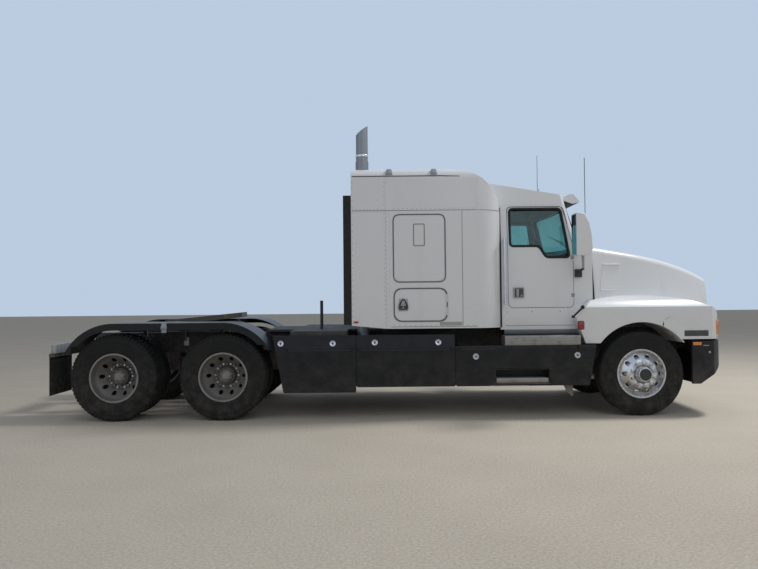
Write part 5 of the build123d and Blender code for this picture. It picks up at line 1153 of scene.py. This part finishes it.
# %% [markdown]
# The tilting hood is one glass-fibre moulding. It closes on a fat black rubber seal
# round the cowl and is held down by a rubber latch each side. The seal could be spun
# or swept from a section, but its section is plainly round, so a smooth curve with a
# bevel is enough. It stays with the cab when the hood tilts, and the latches, the
# plate and the crack go with the hood.

# %% Hood seal and latches
SEAL_X = 2.522
half_seal = [(0.0, 2.128), (0.62, 2.117), (0.76, 2.085), (0.812, 1.99), (0.865, 1.72),
             (0.912, 1.44), (0.945, 1.20)]
seal_path = [(SEAL_X, -y - 0.004, z) for y, z in half_seal[::-1]]
seal_path += [(SEAL_X, y + 0.004, z) for y, z in half_seal[1:]]
hand_over(bar("hood_seal", seal_path, 0.014, kind="NURBS"), "rubber", "chassis")


def latch():
    strap = outline("strap", [(2.186, 1.222), (2.204, 1.214), (2.318, 1.318), (2.304, 1.336)], "Y",
                    -1.182, -1.160, 0.005, 3)
    knob = lathe("latch_knob", [(0.0, 0.0), (0.0, 0.020), (0.018, 0.024), (0.030, 0.020),
                                (0.034, 0.0)], (2.310, -1.150, 1.330), 18, OUTWARD)
    foot = block("latch_foot", (2.176, -1.178, 1.200), (2.212, -1.150, 1.232), 0.005)
    return joined([strap, knob, foot], "hood_latch")


mirrored([latch()], "hood_latches", "rubber", body="hood")
print("hood seal and latches")

# %% [markdown]
# On the right fender are a bare dark plate and, above the wheel arch, a crack with a
# scratch that runs up from it. The cheek of the hood has a shallow framed vent. It
# could be pressed into the panel, but the panel keeps the CAD's mesh, so thin ledges
# frame the place. They are drawn upright and sheared onto the cheek, which leans in
# with height and draws in forwards.

# %% Fender plate, crack and vent ledges
plate = outline("fender_plate", rounded(oblong((3.548, 0.966), (3.840, 1.036)), 0.008), "Y",
                -1.1535, -1.1495, 0.001)
hand_over(plate, "plate_dark", "hood")
crack = outline("fender_crack", [(3.286, 1.092), (3.297, 1.094), (3.302, 1.122), (3.296, 1.152),
                                 (3.291, 1.126), (3.284, 1.110)], "Y", -1.1512, -1.1498)
scratch = outline("fender_crack", [(3.298, 1.160), (3.340, 1.184), (3.402, 1.213), (3.350, 1.1845)],
                  "Y", -1.1508, -1.1498)
hand_over(joined([crack, scratch], "fender_crack"), "dark_trim", "hood")

CHEEK_Y, FORWARD, UPWARD = -0.8815, 0.115, 0.151
CHEEK = Matrix(((1, 0, 0, 0), (FORWARD, 1, UPWARD, CHEEK_Y - FORWARD * 2.62 - UPWARD * 1.53),
                (0, 0, 1, 0), (0, 0, 0, 1)))
ledges = [outline("vent_ledges", [(2.668, 1.850), (2.887, 1.850), (2.887, 1.873), (2.676, 1.873)],
                  "Y", -0.015, 0.006, 0.004),
          outline("vent_ledges", [(2.616, 1.526), (2.806, 1.526), (2.812, 1.545), (2.620, 1.545)],
                  "Y", -0.010, 0.006, 0.004),
          bar("vent_ledges", [(2.619, -0.0005, 1.54), (2.673, -0.0005, 1.86)], 0.0045),
          bar("vent_ledges", [(2.808, 0.001, 1.54), (2.885, 0.001, 1.86)], 0.003)]
ledges = joined(ledges, "vent_ledges")
ledges.data.transform(CHEEK)
mirrored([ledges], "vent_ledges", "cab_paint", body="hood")
print("fender plate, crack and vent ledges")

# %% [markdown]
# Along the side run the black skirts. Chrome lock caps with a dark keyhole are let into
# them, a thin dark bar along their crease is painted shade, and a strip behind each gap
# keeps the light out. Each cap could be tilted by hand onto the leaning part. Here two
# short functions say how far out the skirt is at a height and which way it faces, and the
# lathe spins each cap about that direction.

# %% Skirt caps and seam strips
SKIRT_Y, CREASE_Z = -1.200, 0.833
CAPS = ((-1.364, 0.921), (-0.733, 0.917), (-0.223, 0.925), (0.546, 0.921), (0.999, 0.746),
        (2.229, 0.752))


def skirt_out(z):
    """How far out the skirt is at a height: it leans in above its crease."""
    return SKIRT_Y + max(0.0, z - CREASE_Z) * 0.175


def skirt_spun(name, profile, steps):
    """A profile spun on the skirt at each cap's place, facing as the skirt does there."""
    return [lathe(name, profile, (x, skirt_out(z), z), steps, (0, -1, 0.172 if z > CREASE_Z else 0))
            for x, z in CAPS]


cap = [(-0.003, 0.0), (-0.003, 0.036), (0.003, 0.037), (0.007, 0.033), (0.006, 0.026),
       (0.002, 0.023), (0.002, 0.013), (0.008, 0.011), (0.009, 0.0)]
mirrored(skirt_spun("skirt_caps", cap, 32), "skirt_caps", "bright_trim")
key = [(0.0, 0.0), (0.0, 0.0125), (0.0098, 0.0118), (0.0102, 0.0)]
mirrored(skirt_spun("cap_centres", key, 16), "cap_centres", "dark_trim")
# Thin dark bars along the skirts' crease: painted shade, where the fold reads darker.
crease_shade_lines = [bar("skirt_crease", [(x, SKIRT_Y - 0.0005, CREASE_Z) for x in run], 0.0028)
           for run in ((-1.28, -0.46), (-0.43, 0.69), (0.78, 1.22))]
mirrored(crease_shade_lines, "skirt_crease", "dark_trim")

BEHIND = 0.0125
strips = []
for x, top in ((-0.449, 1.010), (0.7525, 0.872)):
    outer = [(skirt_out(z) + BEHIND, z) for z in (0.400, CREASE_Z, top)]
    section = outer + [(y + 0.004, z) for y, z in outer[::-1]]
    strips.append(outline("seam_strip", section, "X", x - 0.022, x + 0.022))
mirrored(strips, "seam_strips", "black_panels")
print("skirt caps and strips")

# %% [markdown]
# The upper step is an aluminium box with thin ribs along its face and tread plate on
# top, and the lower one a shelf of flat bars behind a lip. Tread plate could be a bump
# texture, but its diamonds catch the light one by one, so each is a real lug of a few
# faces. A rubber splash plate hangs ahead of the lower step.

# %% Steps
def tread_lugs(name, low_x, high_x, low_y, high_y, z, pitch=0.034):
    """The slanting diamonds of tread plate, in rows that lean both ways."""
    lugs = []
    for lean_by in (1, -1):
        lug = outline(name, [(-0.011, -0.0015), (0.0, -0.0035), (0.011, -0.0015), (0.011, 0.0015),
                             (0.0, 0.0035), (-0.011, 0.0015)], "Z", 0.0, 0.0016)
        lug.data.transform(Matrix.Rotation(radians(45 * lean_by), 4, "Z"))
        lugs.append(lug)
    copies = []
    for row in range(int((high_y - low_y) / pitch)):
        for column in range(int((high_x - low_x) / pitch)):
            place = (low_x + (column + 0.5) * pitch, low_y + (row + 0.5) * pitch, z)
            copies.append(copy_of(lugs[(row + column) % 2], name, Matrix.Translation(place)))
    for lug in lugs:
        bpy.data.objects.remove(lug)
    return joined(copies, name)


tray = block("upper_step", (1.354, -1.2065, 0.8775), (2.270, -0.952, 0.9895), 0.006, 3)
ribs = [outline("step_groove", [(-1.208, z), (-1.2065, z - 0.004), (-1.203, z - 0.004),
                                (-1.203, z + 0.004), (-1.2065, z + 0.004)], "X", 1.360, 2.264)
        for z in (0.905, 0.934, 0.963)]
tread = tread_lugs("step_tread", 1.365, 2.04, -1.200, -1.06, 0.9893)
mirrored([tray, tread] + ribs, "upper_step", "step_aluminium")

shelf = [block("lower_step", (1.245, -1.199, 0.462), (1.872, -1.030, 0.470), 0.002),
         block("lower_step", (1.245, -1.2035, 0.428), (1.872, -1.196, 0.482), 0.003)]
for index in range(6):
    y = -1.185 + index * 0.026
    low, high = (1.250, y - 0.003, 0.468), (1.867, y + 0.003, 0.480)
    shelf.append(block("lower_step", low, high, 0.001, 1))
shelf.append(tread_lugs("lower_step", 1.26, 1.86, -1.19, -1.04, 0.4702, 0.05))
shelf.append(bar("lower_step", [(1.17, -1.2035, 0.392), (1.63, -1.2035, 0.392)], 0.0045))
mirrored(shelf, "lower_step", "step_aluminium")

splash = outline("splash_plate", [(2.074, 0.392), (2.198, 0.392), (2.196, 0.250), (2.183, 0.243),
                                  (2.120, 0.300)], "Y", -1.094, -1.086, 0.002)
mirrored([splash], "splash_plates", "flap_grey")
print("steps and splash plates")

# %% [markdown]
# The nose is an arc in plan, so lamps that follow it are drawn as plan outlines and
# pulled upwards. Straight lamps could be bent with a modifier, but every piece would
# bend by its own amount. A short table gives how far forward the nose stands at each
# distance from the middle, and everything in front is placed on that line.

# %% Nose line
NOSE = ((0.0, 4.150), (0.56, 4.126), (0.76, 4.105), (0.909, 4.067), (0.98, 4.031), (1.053, 3.985),
        (1.150, 3.890))


def nose(y):
    """How far forward the nose stands at y."""
    for (inner, ahead), (outer, behind) in zip(NOSE, NOSE[1:]):
        if y <= outer:
            return ahead + (behind - ahead) * (y - inner) / (outer - inner)
    return NOSE[-1][1]


def nose_block(name, low_y, high_y, low_z, high_z, proud, depth, rounding, steps=5, swell=0.0):
    """A block whose face follows the nose on the right side, further out by swell at its end."""
    ys = [low_y + (high_y - low_y) * step / steps for step in range(steps + 1)]
    face = [(nose(y) + proud + swell * (y - low_y) / (high_y - low_y), -y) for y in ys]
    corners = face + [(nose(y) - depth, -y) for y in ys[::-1]]
    return outline(name, corners, "Z", low_z, high_z, rounding)


def nose_ring(name, corners, radius, proud):
    """A bead along corners of (y, z) on the nose, on the right side."""
    path = [(nose(y) + proud, -y, z) for y, z in rounded(corners, 0.022)]
    return bar(name, path, radius, closed=True)


# %% Headlamps and turn lamps
FLUTES, FLUTE_PITCH = 11, 0.014
lenses = [nose_block("headlamp_lenses", low, high, 0.995, 1.150, -0.004, 0.012, 0.004, 3)
          for low, high in ((0.570, 0.726), (0.738, 0.896))]
for low in (0.578, 0.746):
    for y in [low + index * FLUTE_PITCH for index in range(FLUTES)]:
        path = [(nose(y) - 0.004, -y, z) for z in (1.003, 1.142)]
        lenses.append(bar("headlamp_lenses", path, 0.0025, 4))
mirrored(lenses, "headlamp_lenses", "lamp_lens", body="hood", stands_for=("headlamps",))

bezels = [nose_block("headlamp_bezels", 0.562, 0.903, 0.987, 1.153, -0.024, 0.014, 0.003)]
bezels += [nose_ring("headlamp_bezels", oblong((low, 0.991), (high, 1.153)), 0.0055, -0.003)
           for low, high in ((0.566, 0.730), (0.734, 0.900))]
mirrored(bezels, "headlamp_bezels", "bright_trim", body="hood")

TURN_Y = 0.908
turn = [nose_block("turn_lenses", TURN_Y, 1.056, 0.984, 1.156, 0.008, 0.020, 0.007, swell=0.018)]
for y in (0.93, 0.955, 0.98, 1.005, 1.03):
    path = [(nose(y) + 0.007 + 0.122 * (y - TURN_Y), -y, z) for z in (0.995, 1.146)]
    turn.append(bar("turn_lenses", path, 0.003, 4))
mirrored(turn, "turn_lenses", "amber_lens", body="hood", stands_for=("turn_lamps",))
print("headlamps with", 2 * FLUTES, "flutes a side, and turn lamps")

# %% [markdown]
# The grille keeps its slotted shape from the frame, with its edges broken. Behind its
# bars sits a fine screen, which keeps insects off the radiator. A see-through texture
# would do from far away, but thin wires crossed in both directions also cast their
# shadows on the dark core.

# %% Grille and screen
SCREEN_X, WIRE = 4.092, 0.0018
panel("grille", 0.003, 30, 0.6, "bright_trim")
wires = [[(SCREEN_X, y / 1000, z) for z in (1.03, 1.615)] for y in range(-390, 391, 26)]
wires += [[(SCREEN_X - 0.0005, y, z / 1000) for y in (-0.395, 0.395)]
          for z in range(1040, 1615, 26)]
screen = [bar("grille_screen", wire, WIRE, 4) for wire in wires]
hand_over(joined(screen, "grille_screen"), "plate_grey", "hood")
print(len(wires), "wires")

# %% [markdown]
# Small red and amber lamps mark the truck's length: one on the fender, one on the
# bumper's end, one low on the sleeper. A bare block would look like a sticker, so each
# has a rolled edge, and the fender's stands in a dark foot. The bumper also has a slot
# mark, a round button and two bright tow rings.

# %% Marker lamps and bumper details
marker = block("fender_markers", (2.258, -1.168, 1.066), (2.322, -1.148, 1.154), 0.008, 3)
mirrored([marker], "fender_markers", "red_lens", body="hood")
edge = rounded(oblong((2.254, 1.062), (2.326, 1.158)), 0.014)
foot = bar("marker_feet", [(x, -1.151, z) for x, z in edge], 0.005, closed=True)
mirrored([foot], "marker_feet", "dark_trim", body="hood")
amber = block("bumper_markers", (3.640, -1.178, 0.856), (3.744, -1.164, 0.894), 0.006, 3)
mirrored([amber], "bumper_markers", "amber_lens", stands_for=("marker_lamps",))
small = block("sleeper_markers", (-0.476, -1.182, 1.163), (-0.416, -1.168, 1.183), 0.004, 3)
mirrored([small], "sleeper_markers", "red_lens")

slot_mark = outline("bumper_slot", rounded(oblong((3.765, 0.846), (3.838, 0.858)), 0.005), "Y",
                    -1.170, -1.166, 0.001)
button = lathe("bumper_button", [(-0.002, 0.0), (-0.002, 0.016), (0.004, 0.015), (0.007, 0.010),
                                 (0.007, 0.0)], (3.842, -1.168, 0.770), 16, OUTWARD)
mirrored([slot_mark, button], "bumper_details", "plate_grey")
ring = [(4.150, 0.030), (4.150, 0.042), (4.158, 0.040), (4.159, 0.034), (4.156, 0.0275),
        (4.150, 0.0275), (4.150, 0.030)]
rings = [lathe("tow_rings", ring, (0, y, 0.780), 32, (1, 0, 0)) for y in (-0.3, 0.3)]
hand_over(joined(rings, "tow_rings"), "bright_trim", "chassis")
print("marker lamps and bumper details")

# %% [markdown]
# At the back, each mud flap hangs from a bar with a galvanised lamp box above it, and
# three round red lenses face the rear. A strap clamps the two halves of each fender,
# and a small white valve sits on the frame. The strap is one outline of its bent
# section: a flat strip bent in steps would need a bend for every corner.

# %% Tail lamps, fender straps and flap clamps
BACKWARD = (-1, 0, 0)
RAIL_Y = -0.4325
housing = block("tail_housings", (-4.142, -1.194, 0.827), (-4.087, -0.772, 0.941), 0.007, 3)
mirrored([housing], "tail_housings", "galvanised", stands_for=("marker_lamps",))
dome = [(0.0, 0.0), (0.0, 0.046), (0.006, 0.045), (0.010, 0.038), (0.011, 0.0)]
red = [lathe("tail_lenses", dome, (-4.141, y, 0.884), 28, BACKWARD) for y in (-0.85, -0.985, -1.12)]
mirrored(red, "tail_lenses", "red_lens")

strap = outline("fender_straps", [(-1.2295, 1.068), (-1.2295, 1.180), (-1.222, 1.1885),
                                  (-0.60, 1.1885), (-0.60, 1.1855), (-1.220, 1.1855),
                                  (-1.2265, 1.179), (-1.2265, 1.068)], "X",
                -2.795, -2.735, 0.0008, 1)
buckle = block("fender_straps", (-2.803, -1.236, 1.105), (-2.727, -1.2265, 1.150), 0.003)
mirrored([strap, buckle], "fender_straps", "stack_metal")
valve = block("frame_valve", (-2.745, -0.448, 0.865), (-2.680, RAIL_Y, 0.975), 0.004)
hand_over(valve, "cab_paint", "chassis")

clamps = [block("flap_clamps", (-4.1615, -1.21, 0.792), (-4.1545, -0.625, 0.822), 0.002)]
screw = [(0.0, 0.0), (0.0, 0.010), (0.006, 0.010), (0.007, 0.006), (0.007, 0.0)]
clamps += [lathe("flap_clamps", screw, (-4.1615, y, 0.807), 6, BACKWARD)
           for y in (-0.66, -0.79, -0.92, -1.05, -1.18)]
mirrored(clamps, "flap_clamps", "galvanised")
print("tail lamps, straps and clamps")

# %% [markdown]
# Rows of bolts hold the frame's rails together: each is a short six-sided head, copied
# along the rail. The heavy parts of the chassis could be modelled again, but the CAD
# has the shape they need, so they only get the broken edges that cast and rolled steel
# has, wider on the heavy castings than on thin plate.

# %% Frame bolts and chassis parts
def bolt_row(name, start, pitch, count, z):
    """Bolt heads along the outside of a rail."""
    radius = 0.014
    profile = [(-0.001, 0.0), (-0.001, radius), (0.008, radius), (0.010, radius * 0.8), (0.010, 0.0)]
    head = lathe(name, profile, (start, RAIL_Y, z), 6, OUTWARD)
    return in_places(head, name, [Vector((pitch * index, 0, 0)) for index in range(1, count)])


rows = [bolt_row("frame_bolts", start, pitch, count, z)
        for start, pitch, count in ((-3.84, 0.135, 28), (2.10, 0.19, 10)) for z in (0.81, 0.99)]
mirrored(rows, "frame_bolts", "axle_iron")
for node, edge in (("fifth_wheel", 0.004), ("fifth_wheel_mount", 0.003), ("frame_rails", 0.002),
                   ("deck", 0.002), ("front_axle", 0.003), ("exhaust", 0.001),
                   ("rubber_flaps", 0.003), ("fender_stays", 0.002), ("cab_floor", 0.002)):
    panel(node, edge)
print("frame bolts and chassis")

# %% [markdown]
# The mirrors' white shells are deep and rounded. The shell, its arm and its antenna are
# one CAD solid, and a bevel modifier held to the thin arm hardly rounds the shell. So
# its edges are picked by place, between a side face and the front or back, and only
# those are bevelled in edit mode. The arm, grey, and its ends, dark, get their own
# finish by height.

# %% Mirror shells
SHELL_LOW, SHELL_HIGH, SHELL_BACK = 1.94, 2.47, 2.21
ROUNDING = 0.02


def round_mirror_shells(piece, width):
    """Round the long edges between the shells' side faces and the faces that join them."""
    mesh = piece.data
    beside = {}
    for face in mesh.polygons:
        for key in face.edge_keys:
            beside.setdefault(key, []).append(face.normal.copy())
    alone(piece)
    bpy.ops.object.mode_set(mode="EDIT")
    bpy.ops.mesh.select_mode(type="EDGE")
    bpy.ops.mesh.select_all(action="DESELECT")
    bpy.ops.object.mode_set(mode="OBJECT")
    for edge in mesh.edges:
        ends = [mesh.vertices[index].co for index in edge.vertices]
        normals = beside.get(tuple(sorted(edge.vertices)), [])
        on_shell = all(end.x > SHELL_BACK and SHELL_LOW < end.z < SHELL_HIGH for end in ends)
        if on_shell and len(normals) == 2:
            side_faces = sum(abs(normal.y) > 0.9 for normal in normals)
            edge.select = side_faces == 1 and normals[0].angle(normals[1]) > radians(40)
    bpy.ops.object.mode_set(mode="EDIT")
    bpy.ops.mesh.bevel(offset=width, segments=5, affect="EDGES", clamp_overlap=False)
    bpy.ops.mesh.select_mode(type="VERT")
    bpy.ops.object.mode_set(mode="OBJECT")
    return smooth(piece, 45)


mirrors = round_mirror_shells(panel("mirrors", 0), ROUNDING)
refinish(mirrors, "handle_grey", lambda centre, normal: centre.z < 1.95)
refinish(mirrors, "dark_trim", lambda centre, normal: centre.z < 1.80 or centre.z > 2.55)
print("mirror shells rounded by", ROUNDING)

# %% [markdown]
# Tanks, springs, axles and glass are round or plain in the CAD already. They could get
# bevels like the panels, but on them that costs faces for edges which hardly show, so
# they only get smooth shading. The deck behind the cab gets raised tread to walk on,
# made like that of the steps, and the exhaust stack gets the two bands that clamp it.

# %% Grab bars, tanks, axles, glass, deck and stack
steps = refinish(panel("steps_and_grabs", 0.002), "step_aluminium",
                 lambda centre, normal: centre.z < 1.05)
refinish(steps, "black_panels", lambda centre, normal: centre.z < 0.80)
for node in ("fuel_tanks", "drive_axles", "air_springs", "front_springs", "knuckle_right",
             "knuckle_left", "tie_rod", "suspension_arms", "dashboard", "windshield",
             "door_glass_right", "door_glass_left"):
    panel(node, 0, 30, 0)
deck_lugs = tread_lugs("deck_tread", -1.60, -0.62, -0.54, 0.54, 1.0685, 0.052)
hand_over(deck_lugs, "plate_grey", "chassis")
band = [(-0.016, 0.0755), (-0.016, 0.079), (-0.010, 0.0815), (0.010, 0.0815), (0.016, 0.079),
        (0.016, 0.0755), (-0.016, 0.0755)]
bands = [lathe("stack_bands", band, (-0.369, -0.750, z), 40, (0, 0, 1)) for z in (3.075, 3.28)]
hand_over(joined(bands, "stack_bands"), "bright_trim", "chassis")
print("tanks, axles, deck and stack")

# %% [markdown]
# Seats and mattress are soft, stuffed shapes. They could be sculpted, but cloth rounds
# out by itself as stuffing does: a slightly smaller block is remeshed into even small
# faces, cloth simulation with air pressure blows it up for twenty frames, and no point
# may move further than a set cap.

# %% Soft cushions by cloth pressure
FRAMES = 20


def inflate(piece, voxel, cap, pressure=4.0):
    """Swell a closed block as a stuffed cushion, each point by no more than cap."""
    modify(piece, "REMESH", mode="VOXEL", voxel_size=voxel)
    start = [vertex.co.copy() for vertex in piece.data.vertices]
    scene = bpy.context.scene
    scene.frame_start, scene.frame_end = 1, FRAMES
    alone(piece)
    cloth = piece.modifiers.new("cloth", "CLOTH")
    cloth.settings.use_pressure = True
    cloth.settings.uniform_pressure_force = pressure
    cloth.settings.effector_weights.gravity = 0.0
    cloth.point_cache.frame_start, cloth.point_cache.frame_end = 1, FRAMES
    for step in range(1, FRAMES + 1):
        scene.frame_set(step)
    bpy.ops.object.modifier_apply(modifier="cloth")
    scene.frame_set(1)
    for vertex, rest in zip(piece.data.vertices, start):
        moved = vertex.co - rest
        if moved.length > cap:
            vertex.co = rest + moved.normalized() * cap
    modify(piece, "SMOOTH", factor=0.5, iterations=4)
    return smooth(piece, 80)


# %% [markdown]
# Each seat is a cushion and a back in cloth on a hard dark shell, with two arm rests.
# Their side views are drawn once and pulled across the seat, because a seat's shape
# is all in its side view. The right seat is made first and copied to the left.

# %% Seats
corners = rounded([(1.285, 1.425), (1.782, 1.432), (1.790, 1.525), (1.420, 1.530), (1.300, 1.515)],
                  0.035)
cushion = outline("seat_cushion", corners, "Y", -0.715, -0.245, 0.03, 4)
corners = rounded([(1.330, 1.545), (1.415, 1.545), (1.345, 2.235), (1.225, 2.225)], 0.04)
back = outline("seat_back", corners, "Y", -0.705, -0.255, 0.03, 4)
cushion, back = inflate(cushion, 0.009, 0.012), inflate(back, 0.009, 0.012)
corners = rounded([(1.262, 1.402), (1.760, 1.402), (1.760, 1.424), (1.330, 1.426), (1.215, 2.10),
                   (1.192, 2.10)], 0.01)
shell = outline("seat_shell", corners, "Y", -0.690, -0.270, 0.006)
rests = [block("seat_arm", (1.36, low, 1.700), (1.66, high, 1.742), 0.018, 4)
         for low, high in ((-0.735, -0.690), (-0.270, -0.225))]
for side, change in (("right", None), ("left", ACROSS)):
    for part, finish in ((cushion, "seat_cloth"), (back, "seat_cloth"), (shell, "dark_trim")):
        twin = copy_of(part, "%s_%s" % (part.name, side), change)
        hand_over(twin, finish, "chassis", stands_for=("seats",))
    arms = joined([copy_of(arm, "seat_arms", change) for arm in rests], "seat_arms_" + side)
    hand_over(arms, "dark_trim", "chassis")
for part in [cushion, back, shell] + rests:
    bpy.data.objects.remove(part)
print("two seats, each cushion of", len(made[-4].data.polygons), "faces")

# %% Mattress
mattress = block("mattress", (-0.012, -1.098, 1.652), (0.770, 1.098, 1.768), 0.035, 4)
mattress = inflate(mattress, 0.016, 0.010, 2.0)
hand_over(mattress, "bunk_cloth", "chassis", stands_for=("bunk",))
print("mattress of", len(mattress.data.polygons), "faces")

# %% [markdown]
# Under the tilting hood the engine block only needs what makes it an engine at a
# glance: a ribbed rocker cover, two manifolds with a pipe to each of six cylinders, a
# turbocharger, a fan shroud and the hoses to the radiator. Every pipe and bracket of a
# full engine could be built, but it is seen only when the hood is up.

# %% Engine dressing
CYLINDERS = 6
engine = [block("engine_dressing", (2.64, -0.15, 1.638), (3.56, 0.15, 1.735), 0.025, 3)]
for index in range(CYLINDERS):
    x = 2.70 + 0.14 * index
    engine.append(block("engine_dressing", (x, -0.156, 1.66), (x + 0.02, 0.156, 1.741), 0.004))
engine += [bar("engine_dressing", [(2.75, 0.40, 1.42), (3.45, 0.40, 1.42)], 0.048),
           bar("engine_dressing", [(2.75, -0.40, 1.46), (3.45, -0.40, 1.46)], 0.042)]
for index in range(CYLINDERS):
    x = 2.80 + 0.12 * index
    for side in (-1, 1):
        pipe = [(x, side * 0.16, 1.55), (x, side * 0.40, 1.44)]
        engine.append(bar("engine_dressing", pipe, 0.024))
engine.append(block("engine_dressing", (3.63, -0.30, 1.10), (3.705, 0.30, 1.60), 0.05, 4))
hand_over(joined(engine, "engine_dressing"), "engine_paint", "chassis")
turbo = lathe("turbo", [(-0.09, 0.0), (-0.09, 0.05), (-0.07, 0.085), (-0.02, 0.092), (0.0, 0.06),
                        (0.02, 0.092), (0.07, 0.080), (0.10, 0.045), (0.10, 0.0)],
              (3.02, -0.46, 1.56), 32, (1, 0, 0))
upper = [(3.50, 0.25, 1.62), (3.60, 0.27, 1.68), (3.715, 0.28, 1.62)]
charge = [(3.12, -0.46, 1.57), (3.40, -0.47, 1.60), (3.715, -0.33, 1.55)]
hoses = [bar("hoses", upper, 0.032, 16, "NURBS"), bar("hoses", charge, 0.038, 16, "NURBS")]
hand_over(turbo, "axle_iron", "chassis")
hand_over(joined(hoses, "hoses"), "rubber", "chassis")
panel("engine", 0.01, 30, 0.6)
print("engine dressing")
